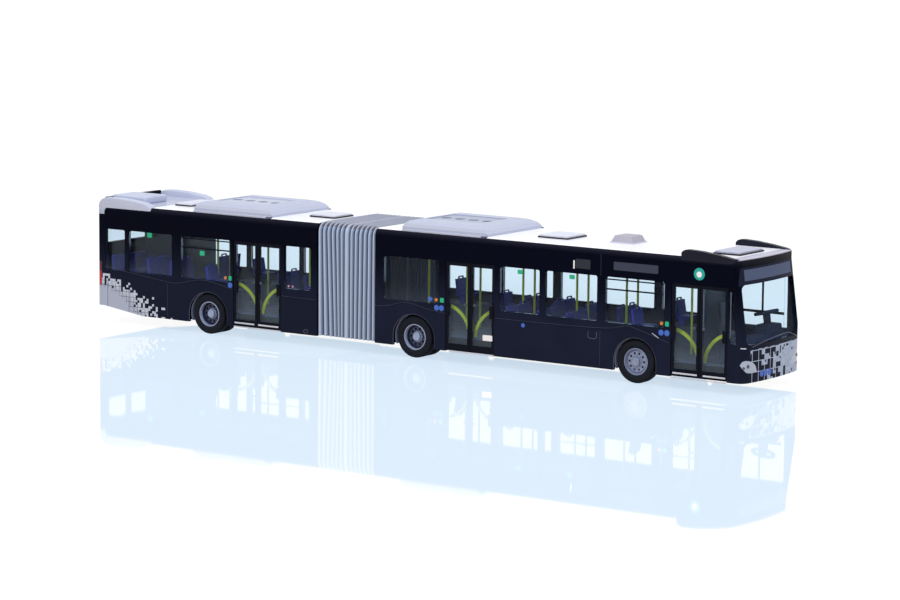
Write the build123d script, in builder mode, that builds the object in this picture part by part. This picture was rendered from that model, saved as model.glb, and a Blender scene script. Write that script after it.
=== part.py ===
from build123d import *
from math import cos, radians, sin
import os

os.makedirs("parts", exist_ok=True)

# A 1 to 87 scale model of an articulated low-floor city bus, in millimetres.
# +X is forward, -Y is the door side, +Z is up, and the tyres stand on Z = 0.

# The body as a whole
length = 208.34
width = 29.31
wall = 1.0
skirt_z = 2.9
cant_z = 31.4
roof_z = 33.5
cant_radius = 2.0
roof_wall = 0.9
front_car_back = -8.4
rear_car_front = -27.6
pivot_x = (front_car_back + rear_car_front) / 2
side_y = width / 2
inner_y = side_y - wall
front_x = length / 2
tail_x = -length / 2
overrun = 3.0
fit_gap = 0.05

# The nose: bowed in plan, and leaning back above the waist
nose_depth = 5.67
nose_bow = 1.2
nose_radius = 2.6
nose_lean = 2.2
nose_back = front_x - nose_depth
# share of the height from the skirt to the wall top, share of the lean
nose_profile_shares = ((0.0, 0.0), (0.424, 0.0), (0.846, 0.74), (1.0, 1.0))

# The tail: nearly flat, with small corners and a raised lower edge
tail_depth = 2.47
tail_bow = 0.25
tail_radius = 0.7
tail_rise = 1.9
tail_rise_length = 14.0
tail_front = tail_x + tail_depth

# Wheels and axles
hub_z = 5.5
tyre_radius = 5.5
tyre_width = 3.1
twin_gap = 0.5
tyre_inset = 0.5
rim_radius = 3.45
rim_wall = 0.45
axle_radius = 0.5
bearing_clearance = 0.06
arch_half_width = 6.7
front_arch_half_width = 6.3
arch_height = 6.2
wheel_clearance = 0.6

# Windows and doors
window_sill_z = 14.9
window_head_z = 26.5
cab_sill_drop = 1.6
window_radius = 0.5
glass_sheet = 0.45
glass_recess = 0.12
glass_lap = 0.9
door_head_z = 26.6
door_bottom_z = 3.1
door_recess = 0.2
leaf_gap = 0.12
stile = 0.72
door_rail = 0.95
kick_rail = 1.9

# Floor, chassis and coupling
chassis_z = 3.4
chassis_thickness = 0.9
floor_z = 7.0
floor_thickness = 0.6
housing_wall = 0.5
bearing_width = 1.6
bearing_length = 3.2
tongue_half_width = 3.0
tongue_thickness = 0.8
pivot_radius = 1.0
pivot_head = 0.6
pivot_head_overlap = 0.6
coupling_clearance = 0.1

front_span = nose_back - front_car_back
rear_span = rear_car_front - tail_front

# Axles, as shares of their car's side
front_axle_share = 0.75145
middle_axle_share = 0.11703
rear_axle_share = 0.49879
front_axle_x = front_car_back + front_span * front_axle_share
middle_axle_x = front_car_back + front_span * middle_axle_share
rear_axle_x = tail_front + rear_span * rear_axle_share

# Openings of each wall: start share and end share of the car's side, share of the cab window's lower sill.
# The driver's window runs on past the front end of the left wall, into the mask.
front_right_windows_shares = ((0.026, 0.191, 0.0), (0.369, 0.483, 0.0), (0.499, 0.645, 0.0),
                              (0.668, 0.830, 0.0))
front_left_windows_shares = ((0.026, 0.191, 0.0), (0.205, 0.353, 0.0), (0.376, 0.483, 0.0), (0.499, 0.645, 0.0),
                             (0.668, 0.781, 0.0), (0.797, 0.852, 0.0), (0.869, 1.010, 1.0))
rear_right_windows_shares = ((0.007, 0.100, 0.0), (0.119, 0.328, 0.0), (0.370, 0.603, 0.0), (0.852, 0.973, 0.0))
rear_left_windows_shares = ((0.007, 0.100, 0.0), (0.119, 0.383, 0.0), (0.405, 0.634, 0.0), (0.656, 0.826, 0.0),
                            (0.852, 0.973, 0.0))
front_door_shares = (0.848, 1.0)
middle_door_shares = (0.211, 0.354)
rear_door_shares = (0.617, 0.838)

# The seam under the windows: share of the car's side, share of the rise over the arches
belt_z = 12.9
belt_rise = 1.6
belt_width = 0.22
belt_depth = 0.12
front_belt_shares = ((0.0, 0.0), (0.04, 0.0), (0.08, 1.0), (0.11, 1.0), (0.18, 0.0),
                     (0.668, 0.0), (0.725, 0.95), (0.74, 0.95), (0.843, -1.0))
rear_belt_shares = ((0.0, 1.85), (0.293, 0.31), (0.36, 0.19), (0.428, 1.0), (0.495, 1.25),
                    (0.63, 0.0), (1.0, -0.15))


def nose_plan(height_share, lean_share, inset, back_to):
    """The nose seen from above at one height, as a face that a loft joins to the next."""
    height = skirt_z + (cant_z - skirt_z) * height_share
    tip = front_x - nose_lean * lean_share - inset
    half = side_y - inset
    with BuildSketch(Plane.XY.offset(height)) as plan:
        with BuildLine():
            Polyline((tip - nose_bow, -half), (back_to, -half), (back_to, half), (tip - nose_bow, half))
            ThreePointArc((tip - nose_bow, half), (tip, 0), (tip - nose_bow, -half))
        make_face()
        fillet(plan.vertices().sort_by(Axis.X)[-2:], nose_radius - inset)
    return plan.sketch


def tail_plan(height, back_to, inset):
    """The tail seen from above, from its back panel forward to a given place."""
    tip = tail_x + inset
    half = side_y - inset
    with BuildSketch(Plane.XY.offset(height)) as plan:
        with BuildLine():
            Polyline((tip + tail_bow, half), (back_to, half), (back_to, -half), (tip + tail_bow, -half))
            ThreePointArc((tip + tail_bow, -half), (tip, 0), (tip + tail_bow, half))
        make_face()
        if inset < tail_radius:
            fillet(plan.vertices().sort_by(Axis.X)[:2], tail_radius - inset)
    return plan.sketch


def roof_section(start_x, inset):
    """The roof seen from the front: flat, with rounded cant rails down to the wall tops."""
    half = side_y - inset
    with BuildSketch(Plane.YZ.offset(start_x)) as section:
        with BuildLine():
            Polyline((-half, cant_z), (-half, roof_z - inset), (half, roof_z - inset), (half, cant_z),
                     close=True)
        make_face()
        fillet(section.vertices().group_by(Axis.Y)[-1], cant_radius - inset)
    return section.sketch


# Side walls, with their windows, doors and arches cut
walls = (
    # name, place along -Y, back, span, windows, doors, axle places with arch half widths, seam
    ("front_wall_right", side_y, front_car_back, front_span, front_right_windows_shares,
     (front_door_shares, middle_door_shares),
     ((front_axle_x, front_arch_half_width), (middle_axle_x, arch_half_width)), front_belt_shares),
    ("front_wall_left", -inner_y, front_car_back, front_span, front_left_windows_shares, (),
     ((front_axle_x, front_arch_half_width), (middle_axle_x, arch_half_width)), front_belt_shares),
    ("rear_wall_right", side_y, tail_front, rear_span, rear_right_windows_shares, (rear_door_shares,),
     ((rear_axle_x, arch_half_width),), rear_belt_shares),
    ("rear_wall_left", -inner_y, tail_front, rear_span, rear_left_windows_shares, (),
     ((rear_axle_x, arch_half_width),), rear_belt_shares),
)
for name, place, back, span, windows, doors, arches, belt in walls:
    outer_face = side_y if place > 0 else -side_y
    groove_depth = belt_depth if place > 0 else -belt_depth
    with BuildPart() as side_wall:
        with BuildSketch(Plane.XZ.offset(place)):
            with Locations((back + span / 2, (skirt_z + cant_z) / 2)):
                Rectangle(span, cant_z - skirt_z)
            for start, end, lowered in windows:
                sill_z = window_sill_z - cab_sill_drop * lowered
                with Locations((back + span * (start + end) / 2, (sill_z + window_head_z) / 2)):
                    RectangleRounded(span * (end - start), window_head_z - sill_z, window_radius,
                                     mode=Mode.SUBTRACT)
            for start, end in doors:
                with Locations((back + span * (start + end) / 2, (door_head_z + skirt_z - overrun) / 2)):
                    Rectangle(span * (end - start), door_head_z - skirt_z + overrun, mode=Mode.SUBTRACT)
            for axle_x, half in arches:
                with Locations((axle_x, hub_z)):
                    Ellipse(half, arch_height, mode=Mode.SUBTRACT)
                with Locations((axle_x, (hub_z + skirt_z - overrun) / 2)):
                    Rectangle(2 * half, hub_z - skirt_z + overrun, mode=Mode.SUBTRACT)
            if back == tail_front:
                with BuildLine():
                    Polyline((back, skirt_z - overrun), (back + tail_rise_length, skirt_z),
                             (back, skirt_z + tail_rise), close=True)
                make_face(mode=Mode.SUBTRACT)
        extrude(amount=-wall)
        with BuildSketch(Plane.XZ.offset(outer_face)):
            with BuildLine() as seam:
                Polyline([(back + span * along, belt_z + belt_rise * up) for along, up in belt])
            trace(seam.line, belt_width)
        extrude(amount=-groove_depth, mode=Mode.SUBTRACT)
    side_wall.part.label = name
    export_step(side_wall.part, f"parts/{name}.step")

# Door leaves, two in each opening, framed round their glass
door_sets = (
    # name, back of the car, span of the car, door opening
    ("front_door", front_car_back, front_span, front_door_shares),
    ("middle_door", front_car_back, front_span, middle_door_shares),
    ("rear_door", tail_front, rear_span, rear_door_shares),
)
for name, back, span, (start, end) in door_sets:
    opening = span * (end - start)
    leaf_width = (opening - 3 * leaf_gap) / 2
    with BuildPart() as door:
        with BuildSketch(Plane.XZ.offset(side_y - door_recess)):
            with Locations((back + span * (start + end) / 2, 0)):
                with GridLocations(leaf_width + leaf_gap, 0, 2, 1):
                    with Locations((0, (door_bottom_z + door_head_z - leaf_gap) / 2)):
                        Rectangle(leaf_width, door_head_z - leaf_gap - door_bottom_z)
                    with Locations((0, (door_bottom_z + kick_rail + door_head_z - leaf_gap - door_rail) / 2)):
                        Rectangle(leaf_width - 2 * stile,
                                  door_head_z - leaf_gap - door_rail - door_bottom_z - kick_rail,
                                  mode=Mode.SUBTRACT)
        extrude(amount=door_recess - wall)
    door.part.label = name
    export_step(door.part, f"parts/{name}.step")

# Clear inserts: one sheet behind each wall, with a raised pane in each opening
glass_low_z = window_sill_z - cab_sill_drop - glass_lap
glass_high_z = window_head_z + glass_lap
glazing_sets = (
    # name, place of the sheet along -Y, direction out of the wall, back, span, windows, doors
    ("front_glazing_right", inner_y, 1, front_car_back, front_span, front_right_windows_shares,
     (front_door_shares, middle_door_shares)),
    ("front_glazing_left", -inner_y, -1, front_car_back, front_span, front_left_windows_shares, ()),
    ("rear_glazing_right", inner_y, 1, tail_front, rear_span, rear_right_windows_shares, (rear_door_shares,)),
    ("rear_glazing_left", -inner_y, -1, tail_front, rear_span, rear_left_windows_shares, ()),
)
pane_thickness = wall - glass_recess
door_pane_thickness = wall - door_recess - glass_recess
leaf_pane_low_z = door_bottom_z + kick_rail
leaf_pane_high_z = door_head_z - leaf_gap - door_rail
for name, place, outward, back, span, windows, doors in glazing_sets:
    with BuildPart() as glazing:
        with BuildSketch(Plane.XZ.offset(place)):
            with Locations((back + span / 2, (glass_low_z + glass_high_z) / 2)):
                Rectangle(span - 2 * fit_gap, glass_high_z - glass_low_z)
            for start, end in doors:
                with Locations((back + span * (start + end) / 2, (leaf_pane_low_z + glass_high_z) / 2)):
                    Rectangle(span * (end - start) - 2 * stile, glass_high_z - leaf_pane_low_z)
        extrude(amount=-outward * glass_sheet)
        with BuildSketch(Plane.XZ.offset(place)):
            for start, end, lowered in windows:
                sill_z = window_sill_z - cab_sill_drop * lowered
                with Locations((back + span * (start + end) / 2, (sill_z + window_head_z) / 2)):
                    RectangleRounded(span * (end - start) - 2 * fit_gap, window_head_z - sill_z - 2 * fit_gap,
                                     window_radius - fit_gap)
            with Locations((back + span / 2, (glass_low_z + glass_high_z) / 2)):
                Rectangle(span - 2 * fit_gap, glass_high_z - glass_low_z, mode=Mode.INTERSECT)
        extrude(amount=outward * pane_thickness)
        if doors:
            with BuildSketch(Plane.XZ.offset(place)):
                for start, end in doors:
                    leaf_width = (span * (end - start) - 3 * leaf_gap) / 2
                    with Locations((back + span * (start + end) / 2, (leaf_pane_low_z + leaf_pane_high_z) / 2)):
                        with GridLocations(leaf_width + leaf_gap, 0, 2, 1):
                            Rectangle(leaf_width - 2 * stile - 2 * fit_gap,
                                      leaf_pane_high_z - leaf_pane_low_z - 2 * fit_gap)
            extrude(amount=outward * door_pane_thickness)
    glazing.part.label = name
    export_step(glazing.part, f"parts/{name}.step")

# Front mask: the bowed, leaning nose shell with its windscreen, side openings and headlamps
screen_sill_z = 12.4
screen_head_z = 27.2
screen_half_width = 13.3
screen_radius = 1.3
screen_thickness = 0.6
screen_recess = 0.12
quarter_sill_z = 12.4
quarter_head_z = 25.6
quarter_start = 0.5
quarter_low_end = 2.5
quarter_high_end = 1.1
cab_window_end = 1.2
side_openings = (
    # name, 1 left or -1 right, start forward of the side wall, end at the foot, end at the head, low, high edge
    ("quarter_window_right", -1, quarter_start, quarter_low_end, quarter_high_end,
     quarter_sill_z, quarter_head_z),
    ("quarter_window_left", 1, 0, cab_window_end, cab_window_end,
     window_sill_z - cab_sill_drop, window_head_z),
)
lamp_low_z = 5.4
lamp_height = 3.2
lamp_inner_y = 8.8
lamp_back = front_x - nose_bow - nose_radius
# share of the way from the lamp's inner tip to the body side, share of its height
lamp_profile_shares = ((0.0, 0.0), (0.102, 0.484), (0.21, 0.66), (0.376, 0.82), (0.56, 0.94), (0.734, 1.0),
                       (0.84, 0.98), (0.905, 0.90), (0.948, 0.653), (0.897, 0.40), (0.752, 0.08), (0.60, 0.0))
with BuildPart() as front_mask:
    loft([nose_plan(up, lean, 0, nose_back - overrun) for up, lean in nose_profile_shares], ruled=True)
    loft([nose_plan(up, lean, wall, nose_back - 2 * overrun) for up, lean in nose_profile_shares], ruled=True,
         mode=Mode.SUBTRACT)
    with BuildSketch(Plane.YZ.offset(nose_back)):
        with Locations((0, (skirt_z + cant_z) / 2)):
            Rectangle(2 * width, 2 * cant_z)
    extrude(amount=-2 * overrun, mode=Mode.SUBTRACT)
    with BuildSketch(Plane.YZ.offset(nose_back + wall)):
        with Locations((0, (screen_sill_z + screen_head_z) / 2)):
            RectangleRounded(2 * screen_half_width, screen_head_z - screen_sill_z, screen_radius)
    extrude(amount=nose_depth, mode=Mode.SUBTRACT)
    for name, across, start, low_end, high_end, low, high in side_openings:
        with BuildSketch(Plane.XZ.offset(-across * (inner_y - wall))):
            with BuildLine():
                Polyline((nose_back + start, low), (nose_back + low_end, low), (nose_back + high_end, high),
                         (nose_back + start, high), close=True)
            make_face()
        extrude(amount=-across * 2 * wall, mode=Mode.SUBTRACT)
    with BuildSketch(Plane.YZ.offset(lamp_back)):
        for across in (1, -1):
            with BuildLine():
                Polyline([(across * (lamp_inner_y + (side_y - lamp_inner_y) * out),
                           lamp_low_z + lamp_height * up) for out, up in lamp_profile_shares], close=True)
            make_face()
    extrude(amount=front_x - lamp_back, mode=Mode.SUBTRACT)
front_mask.part.label = "front_mask"
export_step(front_mask.part, "parts/front_mask.step")

with BuildPart() as windscreen:
    loft([nose_plan(up, lean, screen_recess, nose_back - overrun) for up, lean in nose_profile_shares],
         ruled=True)
    loft([nose_plan(up, lean, screen_recess + screen_thickness, nose_back - 2 * overrun)
          for up, lean in nose_profile_shares], ruled=True, mode=Mode.SUBTRACT)
    with BuildSketch(Plane.YZ.offset(nose_back + wall)):
        with Locations((0, (screen_sill_z + screen_head_z) / 2)):
            RectangleRounded(2 * (screen_half_width - fit_gap), screen_head_z - screen_sill_z - 2 * fit_gap,
                             screen_radius)
    extrude(amount=nose_depth, mode=Mode.INTERSECT)
windscreen.part.label = "windscreen"
export_step(windscreen.part, "parts/windscreen.step")

for name, across, start, low_end, high_end, low, high in side_openings:
    with BuildPart() as quarter_window:
        loft([nose_plan(up, lean, screen_recess, nose_back - overrun) for up, lean in nose_profile_shares],
             ruled=True)
        loft([nose_plan(up, lean, screen_recess + screen_thickness, nose_back - 2 * overrun)
              for up, lean in nose_profile_shares], ruled=True, mode=Mode.SUBTRACT)
        with BuildSketch(Plane.XZ.offset(-across * (inner_y - wall))):
            with BuildLine():
                Polyline((nose_back + start + fit_gap, low + fit_gap),
                         (nose_back + low_end - fit_gap, low + fit_gap),
                         (nose_back + high_end - fit_gap, high - fit_gap),
                         (nose_back + start + fit_gap, high - fit_gap), close=True)
            make_face()
        extrude(amount=-across * 2 * wall, mode=Mode.INTERSECT)
    quarter_window.part.label = name
    export_step(quarter_window.part, f"parts/{name}.step")

with BuildPart() as headlamps:
    loft([nose_plan(up, lean, 0, nose_back - overrun) for up, lean in nose_profile_shares[:2]], ruled=True)
    loft([nose_plan(up, lean, wall, nose_back - 2 * overrun) for up, lean in nose_profile_shares[:2]],
         ruled=True, mode=Mode.SUBTRACT)
    with BuildSketch(Plane.YZ.offset(lamp_back)):
        for across in (1, -1):
            with BuildLine():
                Polyline([(across * (lamp_inner_y + (side_y - lamp_inner_y) * out),
                           lamp_low_z + lamp_height * up) for out, up in lamp_profile_shares], close=True)
            make_face()
    extrude(amount=front_x - lamp_back, mode=Mode.INTERSECT)
headlamps.part.label = "headlamps"
export_step(headlamps.part, "parts/headlamps.step")

# Tail: back panel with its window and lamp pockets
rear_window_sill_z = 22.2
rear_window_head_z = 28.0
rear_window_half_width = 11.4
tail_lamp_low_z = 10.6
tail_lamp_high_z = 17.2
tail_lamp_inner_y = 12.6
tail_lamp_depth = 1.3
tail_lamp_y = (tail_lamp_inner_y + side_y) / 2
with BuildPart() as rear_tail:
    extrude(tail_plan(skirt_z + tail_rise, tail_front, 0), amount=cant_z - skirt_z - tail_rise)
    extrude(tail_plan(skirt_z + tail_rise, tail_front + overrun, wall), amount=cant_z - skirt_z - tail_rise,
            mode=Mode.SUBTRACT)
    with BuildSketch(Plane.YZ.offset(tail_x)):
        with Locations((0, (rear_window_sill_z + rear_window_head_z) / 2)):
            RectangleRounded(2 * rear_window_half_width, rear_window_head_z - rear_window_sill_z, window_radius)
    extrude(amount=tail_depth, mode=Mode.SUBTRACT)
    with BuildSketch(Plane.YZ.offset(tail_x)):
        for direction in (1, -1):
            with Locations((direction * tail_lamp_y, (tail_lamp_low_z + tail_lamp_high_z) / 2)):
                Rectangle(side_y - tail_lamp_inner_y, tail_lamp_high_z - tail_lamp_low_z)
    extrude(amount=tail_bow + tail_lamp_depth, mode=Mode.SUBTRACT)
rear_tail.part.label = "rear_tail"
export_step(rear_tail.part, "parts/rear_tail.step")

with BuildPart() as tail_lamps:
    extrude(tail_plan(tail_lamp_low_z, tail_front, 0), amount=tail_lamp_high_z - tail_lamp_low_z)
    extrude(tail_plan(tail_lamp_low_z, tail_front + overrun, wall), amount=tail_lamp_high_z - tail_lamp_low_z,
            mode=Mode.SUBTRACT)
    with BuildSketch(Plane.YZ.offset(tail_x)):
        for direction in (1, -1):
            with Locations((direction * tail_lamp_y, (tail_lamp_low_z + tail_lamp_high_z) / 2)):
                Rectangle(side_y - tail_lamp_inner_y, tail_lamp_high_z - tail_lamp_low_z)
    extrude(amount=tail_bow + tail_lamp_depth, mode=Mode.INTERSECT)
tail_lamps.part.label = "tail_lamps"
export_step(tail_lamps.part, "parts/tail_lamps.step")

with BuildPart() as rear_window:
    with BuildSketch(Plane.YZ.offset(tail_x + tail_bow + glass_recess)):
        with Locations((0, (rear_window_sill_z + rear_window_head_z) / 2)):
            RectangleRounded(2 * (rear_window_half_width - fit_gap),
                             rear_window_head_z - rear_window_sill_z - 2 * fit_gap, window_radius)
    extrude(amount=screen_thickness)
rear_window.part.label = "rear_window"
export_step(rear_window.part, "parts/rear_window.step")

# Roofs: rounded along the sides, closed at the nose and the tail
with BuildPart() as front_roof:
    extrude(roof_section(front_car_back, 0), amount=front_x - front_car_back)
    extrude(nose_plan(*nose_profile_shares[-1], 0, front_car_back), amount=roof_z - cant_z, mode=Mode.INTERSECT)
    extrude(roof_section(front_car_back, roof_wall), amount=front_span, mode=Mode.SUBTRACT)
front_roof.part.label = "front_roof"
export_step(front_roof.part, "parts/front_roof.step")

with BuildPart() as rear_roof:
    extrude(roof_section(tail_x, 0), amount=rear_car_front - tail_x)
    extrude(tail_plan(cant_z, rear_car_front, 0), amount=roof_z - cant_z, mode=Mode.INTERSECT)
    extrude(roof_section(tail_front, roof_wall), amount=rear_span, mode=Mode.SUBTRACT)
rear_roof.part.label = "rear_roof"
export_step(rear_roof.part, "parts/rear_roof.step")

# Bellows: folded sides and top between the cars, open underneath
bellows_wall = 0.5
fold_depth = 0.9
fold_count = 6
bellows_band = 1.8
bellows_radius = 2.6
bellows_z = 3.2
bellows_top_z = 33.6
fold_pitch = (rear_car_front - front_car_back + bellows_band) / (-2 * fold_count)


def bellows_section(place, inset, foot_z):
    """The bellows seen from the front at one place along them, as a face that a loft joins to the next."""
    half = side_y - inset
    with BuildSketch(Plane.YZ.offset(place)) as section:
        with BuildLine():
            Polyline((-half, foot_z), (-half, bellows_top_z - inset), (half, bellows_top_z - inset),
                     (half, foot_z), close=True)
        make_face()
        fillet(section.vertices().group_by(Axis.Y)[-1], bellows_radius)
    return section.sketch


bellows_places = [(pivot_x - bellows_band / 2 - fold_pitch * fold_count, fold_depth)]
for fold in range(fold_count):
    low = pivot_x - bellows_band / 2 - fold_pitch * (fold_count - fold)
    bellows_places.append((low + fold_pitch / 2, 0))
    bellows_places.append((low + fold_pitch, fold_depth))
bellows_places.append((pivot_x - bellows_band / 4, 0))
bellows_places.append((pivot_x + bellows_band / 4, 0))
for fold in range(fold_count):
    low = pivot_x + bellows_band / 2 + fold_pitch * fold
    bellows_places.append((low, fold_depth))
    bellows_places.append((low + fold_pitch / 2, 0))
bellows_places.append((front_car_back, fold_depth))
with BuildPart() as bellows:
    loft([bellows_section(place, inset, bellows_z) for place, inset in bellows_places], ruled=True)
    loft([bellows_section(place, inset + bellows_wall, bellows_z - overrun) for place, inset in bellows_places],
         ruled=True, mode=Mode.SUBTRACT)
bellows.part.label = "bellows"
export_step(bellows.part, "parts/bellows.step")

# Chassis plates, with wheel wells, axle bearings and the coupling
tyre_outer_y = side_y - tyre_inset
single_inner_y = tyre_outer_y - tyre_width
twin_inner_y = tyre_outer_y - 2 * tyre_width - twin_gap
chassis_top_z = chassis_z + chassis_thickness
floor_under_z = floor_z - floor_thickness
well_half = tyre_radius + wheel_clearance
chassis_sets = (
    # name, back, front, axles with the inner face of their tyres, tongue end
    ("front_chassis", front_car_back, nose_back + wall,
     ((front_axle_x, single_inner_y), (middle_axle_x, twin_inner_y))),
    ("rear_chassis", tail_front + tail_rise_length, rear_car_front, ((rear_axle_x, twin_inner_y),)),
)
tongue_z = {"front_chassis": chassis_z, "rear_chassis": chassis_z + tongue_thickness + coupling_clearance}
for name, back, front, axles in chassis_sets:
    plate_y = inner_y
    with BuildPart() as chassis:
        with BuildSketch(Plane.XY.offset(chassis_z)):
            with Locations(((back + front) / 2, 0)):
                Rectangle(front - back, 2 * plate_y)
            for axle_x, tyre_face in axles:
                for direction in (1, -1):
                    with Locations((axle_x, direction * (tyre_face - wheel_clearance + side_y) / 2)):
                        Rectangle(2 * well_half, side_y - tyre_face + wheel_clearance, mode=Mode.SUBTRACT)
        extrude(amount=chassis_thickness)
        for axle_x, tyre_face in axles:
            with BuildSketch(Plane.XY.offset(chassis_top_z)):
                with Locations((axle_x, 0)):
                    with GridLocations(0, 2 * (tyre_face - wheel_clearance) - bearing_width, 1, 2):
                        Rectangle(bearing_length, bearing_width)
            extrude(amount=floor_under_z - chassis_top_z)
            with BuildSketch(Plane.XZ.offset(-side_y)):
                with Locations((axle_x, hub_z)):
                    Circle(axle_radius + bearing_clearance)
            extrude(amount=width, mode=Mode.SUBTRACT)
        with BuildSketch(Plane.XY.offset(tongue_z[name])):
            root_x = back if name == "front_chassis" else front
            with Locations(((root_x + pivot_x) / 2, 0)):
                Rectangle(abs(root_x - pivot_x), 2 * tongue_half_width)
            with Locations((pivot_x, 0)):
                Circle(tongue_half_width)
            if name == "rear_chassis":
                with Locations((pivot_x, 0)):
                    Circle(pivot_radius + bearing_clearance, mode=Mode.SUBTRACT)
        extrude(amount=tongue_thickness)
        if name == "front_chassis":
            with BuildSketch(Plane.XY.offset(chassis_z + tongue_thickness)):
                with Locations((pivot_x, 0)):
                    Circle(pivot_radius)
            extrude(amount=tongue_thickness + 2 * coupling_clearance)
            with BuildSketch(Plane.XY.offset(chassis_z + 2 * tongue_thickness + 2 * coupling_clearance)):
                with Locations((pivot_x, 0)):
                    Circle(pivot_radius + pivot_head_overlap)
            extrude(amount=pivot_head)
        else:
            with BuildSketch(Plane.XY.offset(chassis_top_z)):
                with Locations((front - wall, 0)):
                    Rectangle(2 * wall, 2 * tongue_half_width)
            extrude(amount=tongue_z[name] - chassis_top_z + tongue_thickness)
    chassis.part.label = name
    export_step(chassis.part, f"parts/{name}.step")

# Saloon floors, with a raised housing over each wheel
floor_half = inner_y - glass_sheet - fit_gap
housing_top_z = hub_z + tyre_radius + wheel_clearance + housing_wall
floor_sets = (
    # name, back, front, axles with the inner face of their tyres
    ("front_floor", front_car_back, nose_back + wall,
     ((front_axle_x, single_inner_y), (middle_axle_x, twin_inner_y))),
    ("rear_floor", tail_front + wall, rear_car_front, ((rear_axle_x, twin_inner_y),)),
)
for name, back, front, axles in floor_sets:
    with BuildPart() as saloon_floor:
        with BuildSketch(Plane.XY.offset(floor_under_z)):
            with Locations(((back + front) / 2, 0)):
                Rectangle(front - back, 2 * floor_half)
        extrude(amount=floor_thickness)
        for axle_x, tyre_face in axles:
            housing_inner = tyre_face - wheel_clearance
            for direction in (1, -1):
                with BuildSketch(Plane.XY.offset(floor_under_z)):
                    with Locations((axle_x, direction * (housing_inner - housing_wall + floor_half) / 2)):
                        Rectangle(2 * (well_half + housing_wall), floor_half - housing_inner + housing_wall)
                extrude(amount=housing_top_z - floor_under_z)
                with BuildSketch(Plane.XY.offset(floor_under_z)):
                    with Locations((axle_x, direction * (housing_inner + floor_half + overrun) / 2)):
                        Rectangle(2 * well_half, floor_half + overrun - housing_inner)
                extrude(amount=housing_top_z - housing_wall - floor_under_z, mode=Mode.SUBTRACT)
    saloon_floor.part.label = name
    export_step(saloon_floor.part, f"parts/{name}.step")

# The raised podium at the back of the rear car
podium_height = 3.0
podium_z = floor_z + podium_height
podium_back = tail_front + wall
podium_front = rear_axle_x - well_half - housing_wall
with BuildPart() as rear_podium:
    with BuildSketch(Plane.XY.offset(floor_z)):
        with Locations(((podium_back + podium_front) / 2, 0)):
            Rectangle(podium_front - podium_back, 2 * floor_half)
    extrude(amount=podium_height)
rear_podium.part.label = "rear_podium"
export_step(rear_podium.part, "parts/rear_podium.step")

# Seats: cushion, leaning back and foot in one side profile, with a grab loop on top
seat_length = 5.0
seat_height = 8.8
seat_width = 4.6
seat_gap = 0.3
loop_height = 0.7
loop_bar = 0.3
loop_place_share = 0.43
housing_share = 0.5
# share of the seat's length, share of its height
seat_profile_shares = ((0.32, 0.0), (0.66, 0.0), (0.66, 0.27), (1.0, 0.30), (1.0, 0.40), (0.27, 0.40),
                       (0.14, 1.0), (0.0, 1.0), (0.12, 0.27), (0.32, 0.27))
seat_outer_y = floor_half - seat_gap
seat_inner_y = seat_outer_y - 2 * seat_width - seat_gap
# share of the car's side, 1 left or -1 right, 1 facing forward or -1 facing back,
# 1 on a wheel housing, 2 on the podium or 0 on the floor
front_seat_places = ((0.40, -1, 1, 0), (0.49, -1, 1, 0), (0.57, -1, 1, 0), (0.752, -1, 1, 1),
                     (0.117, 1, 1, 1), (0.255, 1, 1, 0), (0.35, 1, 1, 0), (0.44, 1, 1, 0),
                     (0.53, 1, 1, 0), (0.62, 1, 1, 0), (0.752, 1, 1, 1))
rear_seat_places = ((0.22, -1, 1, 2), (0.33, -1, 1, 2), (0.50, -1, 1, 1), (0.92, -1, -1, 0),
                    (0.33, 1, -1, 2), (0.50, 1, 1, 1), (0.67, 1, 1, 0), (0.79, 1, 1, 0), (0.92, 1, 1, 0))
seat_feet_z = (floor_z, housing_top_z, podium_z)
seat_sets = (
    ("front_seats", front_car_back, front_span, front_seat_places),
    ("rear_seats", tail_front, rear_span, rear_seat_places),
)
for name, back, span, places in seat_sets:
    with BuildPart() as seats:
        for along, side, facing, stand in places:
            foot_z = seat_feet_z[stand]
            height = seat_height
            seat_x = back + span * along
            columns = (seat_outer_y - seat_width / 2, seat_inner_y + seat_width / 2)
            if stand == 1:
                height = seat_height - (housing_top_z - floor_z) * housing_share
                columns = columns[:1]
            for column in columns:
                with BuildSketch(Plane.XZ.offset(-side * column - seat_width / 2)):
                    with BuildLine():
                        Polyline([(seat_x + facing * seat_length * (x - 1 / 2), foot_z + height * z)
                                  for x, z in seat_profile_shares], close=True)
                    make_face()
                extrude(amount=seat_width)
                loop_x = seat_x - facing * seat_length * loop_place_share
                with BuildSketch(Plane.YZ.offset(loop_x - loop_bar / 2)):
                    with Locations((side * column, foot_z + height)):
                        RectangleRounded(seat_width / 2, 2 * loop_height, loop_height / 2)
                        RectangleRounded(seat_width / 2 - 2 * loop_bar, 2 * (loop_height - loop_bar),
                                         loop_height / 3, mode=Mode.SUBTRACT)
                    with Locations((side * column, foot_z + height - loop_height)):
                        Rectangle(seat_width / 2, 2 * loop_height, mode=Mode.SUBTRACT)
                extrude(amount=loop_bar)
    seats.part.label = name
    export_step(seats.part, f"parts/{name}.step")

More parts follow.
